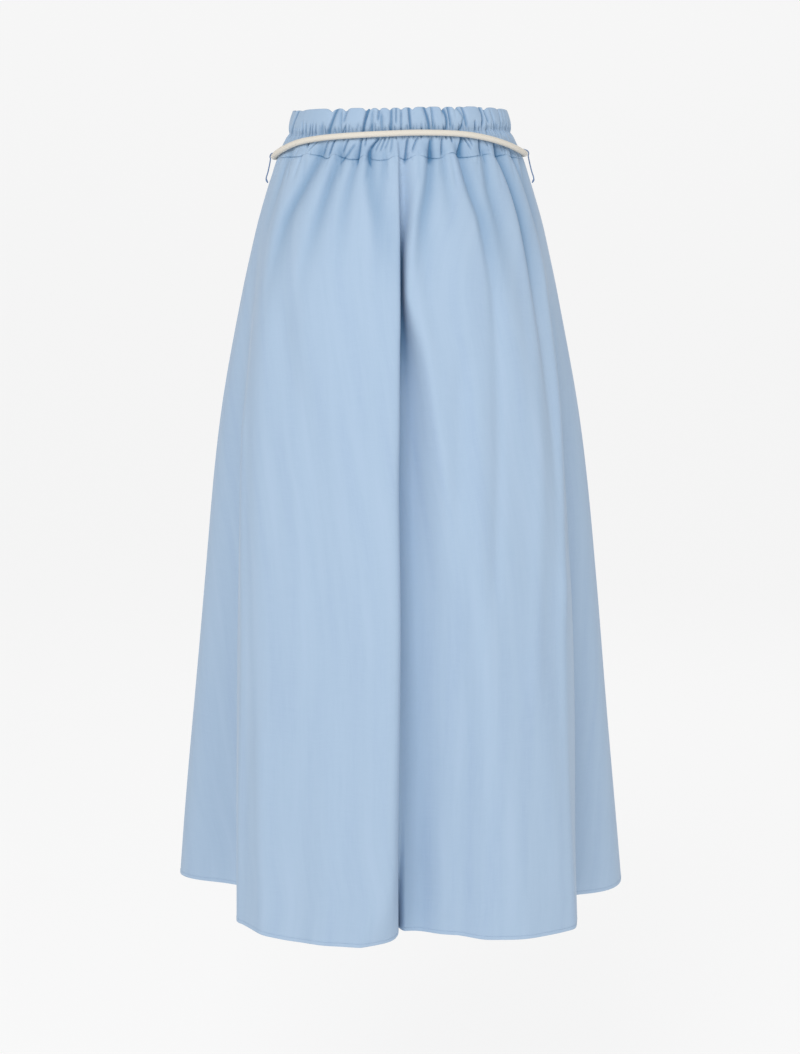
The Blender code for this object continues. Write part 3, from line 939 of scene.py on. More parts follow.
    def ditches(self, angle: np.ndarray, height: np.ndarray, degree: np.ndarray) -> np.ndarray:
        """Inward depth in metres of the seams' ditches: the waist seam and the two side seams.

        Args:
            angle: angles round the skirt, in degrees.
            height: heights in metres.
            degree: metres for each degree there.

        Returns:
            The depth at each point.
        """
        right, left = np.abs(turn_between(angle, 0)), np.abs(turn_between(angle, BACK_TO_FRONT))
        at_side = np.exp(-np.minimum(right, left) * degree / self.ditch_reach)
        return self.ditch * self.seam_line(angle, height) + self.side_ditch * at_side

    def fold_shade(self, angle: np.ndarray, height: np.ndarray) -> np.ndarray:
        """Painted shade for the cloth's colour, from 0 in the open to 1 deep in a crease, fold or seam.

        Args:
            angle: angles round the skirt, in degrees.
            height: heights in metres.

        Returns:
            The shade at each point.
        """
        degree = self.outline(angle, height).degree
        painted_crease_shade = self.small_folds(angle, height, degree) / self.full_crease
        folded = self.trough_depth(angle, height, degree) / self.full_fold
        total = self.creased_shade * np.square(np.clip(painted_crease_shade, 0, 1))
        total += folded * ease((height - self.folded_end) / self.folded_reach)
        total += self.seam_shade * self.seam_line(angle, height)
        total += self.gathered_shade * ease((height - WAIST_SEAM) / self.gathered_reach)
        return np.clip(total + self.slot_shade(angle, height), 0, 1)

    def slot_shade(self, angle: np.ndarray, height: np.ndarray) -> np.ndarray:
        """Painted shade in the pleat: most in its slot, a little in the valley below it.

        Args:
            angle: angles round the skirt, in degrees.
            height: heights in metres.

        Returns:
            The shade at each point.
        """
        centre, before, after = table_columns(PLEAT, height, ("angle", "before", "after"))
        turn = turn_between(angle, centre)
        left_wall = np.exp(-((turn / before) ** 4) / 2)
        across = np.where(turn > 0, bell(turn / (self.slot_width * after)), left_wall)
        into = ease((self.slot_top - height) / self.slot_fade)
        out_of = ease((height - self.slot_end) / self.slot_tail)
        valley = np.where(turn > 0, bell(turn / (self.valley_width * after)), left_wall)
        return into * blend(self.valley_shade * valley, self.slot_depth * across, out_of)

    def casing_puff(self, height: np.ndarray) -> np.ndarray:
        """Outward bulge in metres of the casing between its top edge and its stitches."""
        share = np.clip((TOP_EDGE - height) / (TOP_EDGE - STITCH_LINE), 0, 1)
        return self.puff * np.sin(math.pi * share)

    def surface(self, angle: np.ndarray, height: np.ndarray) -> np.ndarray:
        """Points on the outer face of the cloth.

        Args:
            angle: angles in degrees.
            height: heights in metres before the seam rises and drops, of the same shape.

        Returns:
            The points, with a last axis of x, y and z.
        """
        raised = height + self.lift(angle, height)
        spot = self.outline(angle, raised)
        below = self.below_stitches(height)
        inward, around = self.deep_folds(angle, np.minimum(height, WAIST_SEAM))
        inward, around = inward * below, around * below
        inward = inward + self.trough_depth(angle, height, spot.degree)
        inward = inward + self.long_folds(angle, height, spot.degree)
        inward = inward + self.small_folds(angle, height, spot.degree)
        inward = inward + self.unevenness(angle, height) + self.ditches(angle, height, spot.degree)
        inward = inward + self.pinch * np.exp(-np.square((height - STITCH_LINE) / self.pinch_reach))
        inward = inward - self.casing_puff(height)
        under_rope = (raised - rope_height(angle)) / self.press_reach
        inward = inward + self.press * bell(under_rope)
        placed = spot.point + spot.inward * inward[..., None] + spot.along * around[..., None]
        placed[..., 2] -= self.top_dip(angle, height, spot.degree)
        return placed

    def top_dip(self, angle: np.ndarray, height: np.ndarray, degree: np.ndarray) -> np.ndarray:
        """How far the top edge dips into its notches, fading to nothing at the stitch line, in metres.

        Args:
            angle: angles round the skirt, in degrees.
            height: heights in metres.
            degree: metres for each degree there.

        Returns:
            The drop at each point.
        """
        rise = ease(1 - (TOP_EDGE - height) / (TOP_EDGE - STITCH_LINE))
        total = np.zeros_like(angle)
        for notch in TOP_NOTCHES:
            for turned in (0.0, BACK_TO_FRONT):
                away = turn_between(angle, notch.angle - turned) * degree / MM
                total += notch.drop * MM * crisp(self.crispness * away / notch.width)
        return total * rise


def hem_rise(angle: np.ndarray) -> np.ndarray:
    """How far the hem rises above its mean height at each angle, in millimetres."""
    angles, rises = zip(*HEM_LINE)
    return curve_through(angles, rises, np.asarray(angle) % 360)


def rope_height(angle: np.ndarray) -> np.ndarray:
    """The rope rides high across the back, sags to the belt loops and lies level round the front."""
    angles, heights = zip(*ROPE_LINE)
    return curve_through(angles, heights, np.asarray(angle) % 360)


def arc_lengths(points: np.ndarray, axis: int) -> np.ndarray:
    """Lengths from the first point along one axis of a grid of points."""
    steps = np.linalg.norm(np.diff(points, axis=axis), axis=-1)
    return np.concatenate((np.zeros_like(np.take(steps, [0], axis)), np.cumsum(steps, axis)), axis)


def grid_normals(points: np.ndarray) -> np.ndarray:
    """Unit normals of a grid of points whose rows run down and whose columns run anticlockwise.

    Args:
        points: the grid.

    Returns:
        The normal at each point.
    """
    down, across = np.gradient(points, axis=0), np.gradient(points, axis=1)
    normals = np.cross(down, across)
    return normals / np.maximum(np.linalg.norm(normals, axis=-1, keepdims=True), 1e-12)


@dataclass(frozen=True)
class GridMesh:
    """A mesh of four-sided faces on a grid of points, with a UV map in metres."""

    name: str
    points: np.ndarray
    uv: np.ndarray
    closed_rows: bool = False
    closed_columns: bool = False
    shade_name: str = "fold_shade"
    shade: np.ndarray | None = None

    def build(self) -> bpy.types.Object:
        """Makes the mesh, with its shade from 0 to 1 as a point attribute if it has one.

        Returns:
            The object, linked to the scene, smooth and not selected.
        """
        rows, columns = self.points.shape[:2]
        first_rows = np.arange(rows - (not self.closed_rows))
        first_columns = np.arange(columns - (not self.closed_columns))
        row, column = np.meshgrid(first_rows, first_columns, indexing="ij")
        corner_rows = np.stack((row, row + 1, row + 1, row), -1)
        corner_columns = np.stack((column, column, column + 1, column + 1), -1)
        faces = (corner_rows % rows) * columns + corner_columns % columns
        mesh = bpy.data.meshes.new(self.name)
        mesh.from_pydata(self.points.reshape(-1, 3), [], faces.reshape(-1, 4))
        layer = mesh.uv_layers.new(name="cloth")
        corners = self.uv[corner_rows, corner_columns]
        layer.uv.foreach_set("vector", corners.reshape(-1).astype(np.float32))
        if self.shade is not None:
            shaded = mesh.attributes.new(self.shade_name, "FLOAT", "POINT")
            shaded.data.foreach_set("value", self.shade.reshape(-1).astype(np.float32))
        mesh.shade_smooth()
        return add_object(self.name, mesh)


def deselect() -> None:
    """Leaves nothing selected, so that an operator acts on its own piece alone."""
    bpy.ops.object.select_all(action="DESELECT")


def add_object(name: str, data: bpy.types.ID) -> bpy.types.Object:
    """Adds an object for a mesh, a lamp or a camera, and links it to the scene.

    Args:
        name: the object's name.
        data: what it holds.

    Returns:
        The object, at the origin.
    """
    made = bpy.data.objects.new(name, data)
    bpy.context.scene.collection.objects.link(made)
    return made


def thicken(piece: bpy.types.Object, thickness: float) -> None:
    """Gives a sheet its thickness on its inner side.

    Args:
        piece: the sheet.
        thickness: its thickness in metres.
    """
    deselect()
    piece.select_set(True)
    bpy.context.view_layer.objects.active = piece
    wall = piece.modifiers.new("cloth_thickness", "SOLIDIFY")
    wall.thickness = thickness
    wall.offset = -1
    wall.use_even_offset = False
    bpy.ops.object.modifier_apply(modifier=wall.name)
    deselect()


def linear_colour(hex_colour: str) -> tuple[float, float, float, float]:
    """A linear RGBA colour from an sRGB one written as six hex digits."""
    values = [int(hex_colour[start : start + 2], 16) / 255 for start in (0, 2, 4)]
    return (*[v / 12.92 if v <= 0.04045 else ((v + 0.055) / 1.055) ** 2.4 for v in values], 1.0)


def add_node(
    tree: bpy.types.NodeTree,
    kind: str,
    links: dict[str | int, Any] | None = None,
    stops: Sequence[tuple[float, str]] = (),
    **settings: Any,
) -> bpy.types.Node:
    """Adds a node with its settings, its sockets' values and the links into it.

    Args:
        tree: the material's node tree.
        kind: the node's type, without the words ShaderNode.
        links: for each input, the socket that feeds it or the value that it holds.
        stops: a colour ramp's places from 0 to 1 and their hex colours.
        settings: the node's own properties.

    Returns:
        The node.
    """
    node = tree.nodes.new(f"ShaderNode{kind}")
    for name, value in settings.items():
        setattr(node, name, value)
    for name, value in (links or {}).items():
        if isinstance(value, bpy.types.NodeSocket):
            tree.links.new(value, node.inputs[name])
        else:
            node.inputs[name].default_value = value
    if stops:
        ramp = node.color_ramp.elements
        while len(ramp) < len(stops):
            ramp.new(1.0)
        for element, (place, colour) in zip(ramp, stops):
            element.position = place
            element.color = linear_colour(colour)
    return node


def start_finish(name: str, sockets: dict[str, Any]) -> tuple[bpy.types.Material, bpy.types.Node]:
    """Starts a material and sets its shader's own sockets.

    Args:
        name: the material's name.
        sockets: the values of the shader's sockets that are the same all over.

    Returns:
        The material and its shader.
    """
    made = bpy.data.materials.new(name)
    made.use_nodes = True
    shader = made.node_tree.nodes["Principled BSDF"]
    for socket, value in sockets.items():
        shader.inputs[socket].default_value = value
    return made, shader


@dataclass(frozen=True)
class WovenPoplin:
    """Cotton poplin, plain woven and dyed light blue: matt, with a faint sheen of short fibres.

    Real poplin has about 40 threads to the centimetre, too fine for any render of the whole
    garment, so its threads are drawn 0.5 mm apart, and the slubs that show further off are
    streaks of thicker thread 2 mm wide.
    """

    name: str = "woven_cotton_poplin"
    base: str = "A3B9D0"
    pale: str = "A7BCD3"
    deep: str = "9FB5CE"
    # The painted shade's colour, mixed in over creases, folds, the seam and the pleat's slot
    painted_crease_shade: str = "5681A6"
    thread_spacing: float = 0.5 * MM
    thread_relief: float = 0.08 * MM
    slub_width: float = 2.0 * MM
    slub_length: float = 30 * MM
    slub_relief: float = 0.3 * MM
    cloud_width: float = 1 / 60
    cloud_length: float = 1 / 4
    roughness: float = 0.82
    specular: float = 0.25
    sheen: float = 0.18
    sheen_roughness: float = 0.45

    def build(self) -> bpy.types.Material:
        """Makes the finish.

        Returns:
            The material.
        """
        made, shader = start_finish(
            self.name,
            {
                "Roughness": self.roughness,
                "Specular IOR Level": self.specular,
                "Sheen Weight": self.sheen,
                "Sheen Roughness": self.sheen_roughness,
            },
        )
        tree = made.node_tree
        uv = add_node(tree, "UVMap", uv_map="cloth").outputs["UV"]
        slubs = self.slubs(tree, uv)
        colour = self.dye_and_painted_shade(tree, uv, slubs)
        tree.links.new(colour, shader.inputs["Base Color"])
        weave = self.weave(tree, uv)
        fine = add_node(tree, "Bump", {"Height": weave, "Strength": 0.12, "Distance": self.thread_relief})
        under = fine.outputs["Normal"]
        relief = {"Height": slubs, "Strength": 0.10, "Distance": self.slub_relief, "Normal": under}
        coarse = add_node(tree, "Bump", relief)
        tree.links.new(coarse.outputs["Normal"], shader.inputs["Normal"])
        return made

    def dye_and_painted_shade(
        self, tree: bpy.types.NodeTree, uv: bpy.types.NodeSocket, slubs: bpy.types.NodeSocket
    ) -> bpy.types.NodeSocket:
        """The dye's colour, uneven in long clouds and paler on slubs, with painted shade over creases.

        Args:
            tree: the material's node tree.
            uv: places on the cloth, in metres.
            slubs: the streaks of thicker thread, from 0 to 1.

        Returns:
            The colour's socket.
        """
        scale = (1 / self.cloud_width, 1 / self.cloud_length, 1.0)
        stretched = add_node(tree, "Mapping", {"Vector": uv, "Scale": scale}).outputs["Vector"]
        clouds = add_node(tree, "TexNoise", {"Vector": stretched, "Scale": 1.0, "Detail": 3.0})
        stops = ((0.30, self.deep), (0.52, self.base), (0.72, self.pale))
        tone = add_node(tree, "ValToRGB", {"Fac": clouds.outputs["Fac"]}, stops).outputs["Color"]
        pale, painted_crease_shade = linear_colour(self.pale), linear_colour(self.painted_crease_shade)
        slubbed = add_node(tree, "MixRGB", {"Fac": slubs, "Color1": tone, "Color2": pale}).outputs["Color"]
        # Painted shade: the fold_shade attribute mixes the darker shade colour in over creases and folds
        depth = add_node(tree, "Attribute", attribute_name="fold_shade").outputs["Fac"]
        shaded = add_node(tree, "MixRGB", {"Fac": depth, "Color1": slubbed, "Color2": painted_crease_shade})
        return shaded.outputs["Color"]

    def weave(self, tree: bpy.types.NodeTree, uv: bpy.types.NodeSocket) -> bpy.types.NodeSocket:
        """The height of the plain weave, warp over weft and weft over warp in turn.

        Args:
            tree: the material's node tree.
            uv: places on the cloth, in metres.

        Returns:
            The height's socket.
        """
        turns = 1 / (2 * self.thread_spacing)
        scaled = add_node(tree, "Mapping", {"Vector": uv, "Scale": (turns, turns, 1)})
        parts = add_node(tree, "SeparateXYZ", {"Vector": scaled.outputs["Vector"]})
        waves = []
        for axis in ("X", "Y"):
            turned = add_node(tree, "Math", {0: parts.outputs[axis], 1: 2 * math.pi}, operation="MULTIPLY")
            wave = add_node(tree, "Math", {0: turned.outputs["Value"]}, operation="SINE")
            waves.append(wave.outputs["Value"])
        return add_node(tree, "Math", {0: waves[0], 1: waves[1]}, operation="MULTIPLY").outputs["Value"]

    def slubs(self, tree: bpy.types.NodeTree, uv: bpy.types.NodeSocket) -> bpy.types.NodeSocket:
        """Streaks of thicker thread along the warp and the weft, from 0 to 1.

        Args:
            tree: the material's node tree.
            uv: places on the cloth, in metres.

        Returns:
            The streaks' socket.
        """
        across, along = 1 / self.slub_width, 1 / self.slub_length
        streaks = []
        for scale in ((across, along, 1), (along, across, 1)):
            stretched = add_node(tree, "Mapping", {"Vector": uv, "Scale": scale}).outputs["Vector"]
            noise = add_node(tree, "TexNoise", {"Vector": stretched, "Scale": 1.0, "Detail": 2.0})
            streaks.append(noise.outputs["Fac"])
        both = add_node(tree, "Math", {0: streaks[0], 1: streaks[1]}, operation="ADD").outputs["Value"]
        ends = {"From Min": 0.75, "From Max": 1.25, "To Max": 0.5}
        return add_node(tree, "MapRange", {"Value": both, **ends}).outputs["Result"]


@dataclass(frozen=True)
class BraidedCotton:
    """Undyed braided cotton: cream, matt and soft, with painted shade in the grooves between its plaits."""

    name: str = "braided_cotton_rope"
    yarn: str = "D9D3C8"
    painted_groove_shade: str = "C2B9A8"
    fibre_width: float = 0.25 * MM
    fibre_length: float = 2.0 * MM
    fibre_relief: float = 0.15 * MM
    roughness: float = 0.9
    specular: float = 0.2
    sheen: float = 0.25
    sheen_roughness: float = 0.5

    def build(self) -> bpy.types.Material:
        """Makes the finish.

        Returns:
            The material.
        """
        made, shader = start_finish(
            self.name,
            {
                "Roughness": self.roughness,
                "Specular IOR Level": self.specular,
                "Sheen Weight": self.sheen,
                "Sheen Roughness": self.sheen_roughness,
            },
        )
        tree = made.node_tree
        # Painted shade: the plait height darkens the colour in the grooves between plaits
        crest = add_node(tree, "Attribute", attribute_name="plait_height").outputs["Fac"]
        tone = add_node(tree, "ValToRGB", {"Fac": crest}, ((0.05, self.painted_groove_shade), (0.55, self.yarn)))
        tree.links.new(tone.outputs["Color"], shader.inputs["Base Color"])
        uv = add_node(tree, "UVMap", uv_map="cloth").outputs["UV"]
        scale = (1 / self.fibre_length, 1 / self.fibre_width, 1)
        fibres = add_node(tree, "Mapping", {"Vector": uv, "Scale": scale}).outputs["Vector"]
        fuzz = add_node(tree, "TexNoise", {"Vector": fibres, "Scale": 1.0, "Detail": 3.0}).outputs["Fac"]
        bump = add_node(tree, "Bump", {"Height": fuzz, "Strength": 0.35, "Distance": self.fibre_relief})
        tree.links.new(bump.outputs["Normal"], shader.inputs["Normal"])
        return made


@dataclass(frozen=True)
class TwistedThread:
    """Mercerised cotton sewing thread: smooth and a little shiny, twisted from fine plies."""

    name: str
    colour: str
    dark: str
    mottle_size: float = 0.48 * MM
    fibre_relief: float = 0.1 * MM
    roughness: float = 0.55
    sheen: float = 0.1

    def build(self) -> bpy.types.Material:
        """Makes the finish.

        Returns:
            The material.
        """
        made, shader = start_finish(self.name, {"Roughness": self.roughness, "Sheen Weight": self.sheen})
        tree = made.node_tree
        place = add_node(tree, "TexCoord").outputs["Object"]
        fuzz = add_node(tree, "TexNoise", {"Vector": place, "Scale": 1 / self.mottle_size}).outputs["Fac"]
        tone = add_node(tree, "ValToRGB", {"Fac": fuzz}, ((0.35, self.dark), (0.65, self.colour)))
        tree.links.new(tone.outputs["Color"], shader.inputs["Base Color"])
        bump = add_node(tree, "Bump", {"Height": fuzz, "Strength": 0.3, "Distance": self.fibre_relief})
        tree.links.new(bump.outputs["Normal"], shader.inputs["Normal"])
        return made


@dataclass(frozen=True)
class LitBackdrop:
    """A studio sweep of matt paper, down behind the skirt and out under it, evenly lit from behind."""

    name: str = "lit_backdrop_paper"
    paper: str = "7A7A7A"
    glow: str = "F6F6F6"
    strength: float = 0.852

    def build(self) -> bpy.types.Material:
        """Makes the finish.

        Returns:
            The material.
        """
        made, _ = start_finish(
            self.name,
            {
                "Base Color": linear_colour(self.paper),
                "Roughness": 0.95,
                "Specular IOR Level": 0.0,
                "Emission Color": linear_colour(self.glow),
                "Emission Strength": self.strength,
            },
        )
        return made


@dataclass(frozen=True)
class ClothSheet:
    """A finished sheet of the skirt's cloth and what it was cut from."""

    piece: bpy.types.Object
    width: float
    length: float
    area: float | None = None


def dress(piece: bpy.types.Object, finish: bpy.types.Material, slot: str, *nodes: str) -> None:
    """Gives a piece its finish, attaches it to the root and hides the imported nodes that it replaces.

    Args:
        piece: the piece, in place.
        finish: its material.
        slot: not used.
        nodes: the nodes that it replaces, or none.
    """
    piece.data.materials.clear()
    piece.data.materials.append(finish)
    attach(piece, "root")
    if nodes:
        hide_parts(*nodes)
    piece.data.calc_loop_triangles()
    LOG.info("%s: %d triangles", piece.name, len(piece.data.loop_triangles))


def lap_under(points: np.ndarray, spot: Spot, lap: float, depth: float) -> None:
    """Runs a sheet's side edges on past the side seams, under the next sheet, to keep light out.

    Args:
        points: the sheet's grid of points, changed in place.
        spot: the directions inwards and round the outline at each point.
        lap: how far an edge runs on, in metres.
        depth: how far it goes under, in metres.
    """
    for column, way in ((0, -1), (-1, 1)):
        points[:, column] += spot.along[:, column] * way * lap + spot.inward[:, column] * depth


def with_close_ends(places: np.ndarray, extra: Sequence[float]) -> np.ndarray:
    """Adds places close to both ends of a run from 0 to 1, where a seam's ditch bends the cloth.

    Args:
        places: the places already there.
        extra: how far the new places are from each end.

    Returns:
        All the places, in order.
    """
    extra = np.asarray(extra)
    return np.unique(np.concatenate((places, extra, 1 - extra)))


@dataclass(frozen=True)
class SkirtPanel:
    """One panel of the skirt, from the waist seam to the hem and from side seam to side seam."""

    side: Side
    form: SkirtForm
    columns: int = 392
    rows: int = 102
    crowding: float = 1.55
    thickness: float = 0.5 * MM
    settle: float = 0.62
    bend_weight: float = 0.018
    hem_width: float = 4.0 * MM
    hem_thicker: float = 0.16 * MM
    hem_step: float = 1.2 * MM
    stitched_in: float = 0.10 * MM
    stitched_reach: float = 0.6 * MM
    allowance: float = 5.0
    tucked_in: float = 0.8 * MM
    side_lap: float = 1.3 * MM
    lapped_under: float = 1.0 * MM
    ditch_columns_at_hem: tuple[float, float] = (0.0006, 0.0014)
    ditch_columns_at_seam: tuple[float, float] = (0.0012, 0.0028)
    cut_top: float = 0.64
    cut_bottom: float = 0.94
    cut_length: float = 0.915

    def hem_shares(self) -> np.ndarray:
        """Shares from seam to seam of each column at the hem, closer where the hem bends.

        Returns:
            The shares, from 0 to 1.
        """
        start, end = self.side.value
        fine = 20 * self.columns
        share = np.linspace(0, 1, fine + 1)
        spot_angle, height = blend(start, end, share), np.full(fine + 1, HEM)
        inward, around = self.form.deep_folds(spot_angle, height)
        spot = self.form.outline(spot_angle, height)
        hem = spot.point + spot.inward * inward[:, None] + spot.along * around[:, None]
        steps = np.diff(hem, axis=0)
        lengths = np.linalg.norm(steps, axis=1)
        heading = steps / lengths[:, None]
        bends = np.arccos(np.clip((heading[1:] * heading[:-1]).sum(1), -1, 1))
        turned = np.concatenate(([0.0], bends))
        measure = np.concatenate(([0.0], np.cumsum(lengths + self.bend_weight * turned)))
        return np.interp(np.linspace(0, measure[-1], self.columns + 1), measure, share)

    def seam_shares(self, at_hem: np.ndarray) -> np.ndarray:
        """Shares of each column at the waist seam, even on both sides of the pleat's column.

        Args:
            at_hem: the columns' shares at the hem.

        Returns:
            The shares, from 0 to 1.
        """
        start, end = self.side.value
        pleat = (PLEAT[-1].angle - start) / (end - start)
        column = np.arange(self.columns + 1)
        if not 0 < pleat < 1:
            return column / self.columns
        pivot = np.interp(pleat, at_hem, column)
        after = 1 - (1 - pleat) * (self.columns - column) / (self.columns - pivot)
        return np.where(column < pivot, pleat * column / pivot, after)

    def heights(self) -> np.ndarray:
        """The rows' heights: close below the waist seam, wider down the skirt, close at the hem.

        Returns:
            The heights in metres, downwards.
        """
        top = WAIST_SEAM - SEAM_GAP / 2
        allowance = top + np.array((self.allowance, 0.5)) * MM
        at_seam = top - np.array((0.35, 0.8, 1.4, 2.2, 3.2, 4.4)) * MM
        at_hem = HEM + np.array((9.0, 6.5, 5.1, 4.5, 4.0, 3.5, 2.9, 1.6, 0.5)) * MM
        down = np.linspace(0, 1, self.rows - len(at_seam) - len(at_hem) + 1)
        even = blend(at_seam[-1], at_hem[0], down**self.crowding)
        return np.concatenate((allowance, [top], at_seam[:-1], even, at_hem[1:], [HEM]))

    def hem_relief(self, height: np.ndarray) -> np.ndarray:
        """Outward relief in metres of the turned hem, with the ditch that its stitches pull in.

        Args:
            height: heights in metres.

        Returns:
            The relief at each height.
        """
        above_stitches = height - HEM - self.hem_width
        doubled = self.hem_thicker * ease(-above_stitches / self.hem_step)
        return doubled - self.stitched_in * np.exp(-np.square(above_stitches / self.stitched_reach))

    def build(self) -> ClothSheet:
        """Makes the panel's shell.

        Returns:
            The sheet and the size of its cut.
        """
        start, end = self.side.value
        even_hem = self.hem_shares()
        at_hem = with_close_ends(even_hem, self.ditch_columns_at_hem)
        at_seam = with_close_ends(self.seam_shares(even_hem), self.ditch_columns_at_seam)
        height = self.heights()
        settled = ease((height - WAIST_SEAM) / (HEM - WAIST_SEAM) / self.settle)[:, None]
        share = blend(at_seam[None], at_hem[None], settled)
        back = table_columns(SECTIONS, height, ("back_depth",))[0][:, None]
        gap = np.degrees(SEAM_GAP / 2 / back)
        angle = blend(start + gap, end - gap, share)
        rows = np.broadcast_to(height[:, None], angle.shape)
        points = self.form.surface(angle, rows)
        points += grid_normals(points) * self.hem_relief(rows)[..., None]
        spot = self.form.outline(angle, rows)
        points[:2] += spot.inward[:2] * self.tucked_in
        if self.side is Side.FRONT:
            lap_under(points, spot, self.side_lap, self.lapped_under)
        across = arc_lengths(points, 1)
        uv = np.stack((across - across[:, across.shape[1] // 2, None], arc_lengths(points, 0)), -1)
        # Painted shade in creases, folds, the seam and the pleat, kept for the cloth's colour
        shade = self.form.fold_shade(angle, rows)
        piece = GridMesh(f"poplin_panel_{self.side.word}", points, uv, shade=shade).build()
        thicken(piece, self.thickness)
        area = (self.cut_top + self.cut_bottom) / 2 * self.cut_length
        return ClothSheet(piece, self.cut_bottom, self.cut_length, area)


@dataclass(frozen=True)
class WaistbandHalf:
    """Half of the waistband: the elastic casing, gathered, and the single cloth below its stitches.

    The cloth comes up the outside, folds over at the top edge and goes down inside the casing to
    just past the stitch line, where it is sewn to itself.
    """

    side: Side
    form: SkirtForm
    columns: int = 700
    thickness: float = 0.45 * MM
    fold_radius: float = 1.5 * MM
    layers_apart: float = 3.1 * MM
    sewn_apart: float = 1.15 * MM
    sewn_reach: float = 8.0 * MM
    crease_through: float = 0.5
    outer_rows: int = 42
    inner_rows: int = 17
    ditch_columns: tuple[float, float] = (0.0005, 0.0022)
    inner_end: float = STITCH_LINE - 4 * MM
    cut_width: float = 0.50
    cut_length: float = 0.096

    def path(self) -> tuple[np.ndarray, np.ndarray, np.ndarray]:
        """The cloth's path from the waist seam over the top and down inside.

        Returns:
            Each row's height, the rise of the folded edge above it, and its share of the way inside.
        """
        seam = WAIST_SEAM + SEAM_GAP / 2
        low = seam + np.array((0, 0.35, 0.8, 1.4, 2.2)) * MM
        fold = TOP_EDGE - self.fold_radius
        outer = np.concatenate((low[:-1], np.linspace(low[-1], fold, self.outer_rows)))
        over = np.radians((22, 45, 68, 90, 112, 135, 158))
        inner = np.linspace(fold, self.inner_end, self.inner_rows)
        level = np.full(over.shape, fold)
        height = np.concatenate((outer, level, inner))
        rise = np.concatenate((0 * outer, self.fold_radius * np.sin(over), 0 * inner))
        inside = np.concatenate((0 * outer, (1 - np.cos(over)) / 2, 0 * inner + 1))
        return height[::-1], rise[::-1], inside[::-1]

    def build(self) -> ClothSheet:
        """Makes the band's shell.

        Returns:
            The sheet and the size of its cut.
        """
        start, end = self.side.value
        height, rise, inside = self.path()
        share = with_close_ends(np.linspace(0, 1, self.columns + 1), self.ditch_columns)
        back = table_columns(SECTIONS, height, ("back_depth",))[0][:, None]
        gap = np.degrees(SEAM_GAP / 2 / back)
        angle = blend(start + gap, end - gap, share[None])
        rows = np.broadcast_to(height[:, None], angle.shape)
        outer = self.form.surface(angle, rows)
        spot = self.form.outline(angle, rows)
        depth = ((outer - spot.point) * spot.inward).sum(-1)
        sewn = ease(1 - (rows - STITCH_LINE) / self.sewn_reach)
        apart = blend(self.layers_apart - self.crease_through * np.maximum(depth, 0), self.sewn_apart, sewn)
        shift = apart * inside[:, None]
        points = outer + spot.inward * shift[..., None]
        points[..., 2] += rise[:, None]
        if self.side is Side.FRONT:
            lap_under(points, spot, SkirtPanel.side_lap, SkirtPanel.lapped_under)
        uv = np.stack((arc_lengths(points, 1), arc_lengths(points, 0)), -1)
        # Painted shade in creases, folds, the seam and the pleat, kept for the cloth's colour
        shade = self.form.fold_shade(angle, rows)
        piece = GridMesh(f"poplin_waistband_{self.side.word}", points, uv, shade=shade).build()
        thicken(piece, self.thickness)
        return ClothSheet(piece, self.cut_width, self.cut_length)


@dataclass(frozen=True)
class RopeBelt:
    """The braided cotton rope that lies round the waist, over the band and through its loops."""

    form: SkirtForm
    diameter: float = 7.0 * MM
    rest_gap: float = 0.4 * MM
    rings: int = 2000
    sides: int = 44
    plaits: int = 8
    lay: float = 26 * MM
    plait_relief: float = 0.34 * MM

    def centreline(self, angle: np.ndarray) -> tuple[np.ndarray, np.ndarray]:
        """The rope's middle at each angle and the direction straight out of the cloth there.

        Args:
            angle: angles round the skirt, in degrees.

        Returns:
            The points and the unit directions.
        """
        point, out = self.form.plain_face(angle, rope_height(angle))
        return point + out * (self.diameter / 2 + self.rest_gap), out

    def plait_height(self, along: np.ndarray, around: np.ndarray) -> np.ndarray:
        """The braid's height, 0 in a hollow and 1 on a crest, at lengths along and turns around.

        Args:
            along: lengths along the rope, in metres.
            around: turns around it.

        Returns:
            The height at each point.
        """
        one = self.plaits * (around + along / self.lay)
        other = self.plaits * (around - along / self.lay)
        over = np.abs(np.sin(math.pi * one)) * (0.5 + 0.5 * np.cos(2 * math.pi * (other + 0.25)))
        under = np.abs(np.sin(math.pi * other)) * (0.5 + 0.5 * np.cos(2 * math.pi * (one + 0.75)))
        return np.sqrt(np.clip(np.maximum(over, under), 0, 1))

    def build(self) -> bpy.types.Object:
        """Makes the rope as one closed braided ring.

        Returns:
            The rope.
        """
        fine_angle = np.linspace(0, 360, 4 * self.rings + 1)
        measure = arc_lengths(self.centreline(fine_angle)[0], 0)
        length = measure[-1]
        along = np.linspace(0, length, self.rings + 1)
        centre, out = self.centreline(np.interp(along, measure, fine_angle)[:-1])
        forward = np.roll(centre, -1, 0) - np.roll(centre, 1, 0)
        forward /= np.linalg.norm(forward, axis=1, keepdims=True)
        out -= forward * (out * forward).sum(1, keepdims=True)
        out /= np.linalg.norm(out, axis=1, keepdims=True)
        up = np.cross(forward, out)
        turns = np.linspace(0, 1, self.sides + 1)
        # Whole lays all round, so that the braid meets itself
        whole_lays = round(length / self.lay) * self.lay / length
        crest = self.plait_height(along[:-1, None] * whole_lays, turns[None, :-1])
        radius = self.diameter / 2 - self.plait_relief * (1 - crest)
        turn = 2 * math.pi * turns[None, :-1, None]
        ring = np.cos(turn) * out[:, None] + np.sin(turn) * up[:, None]
        points = centre[:, None] + radius[..., None] * ring
        girth = math.pi * self.diameter
        uv = np.stack(np.meshgrid(along, turns * girth, indexing="ij"), -1)
        return GridMesh("braided_rope_belt", points, uv, True, True, "plait_height", crest).build()


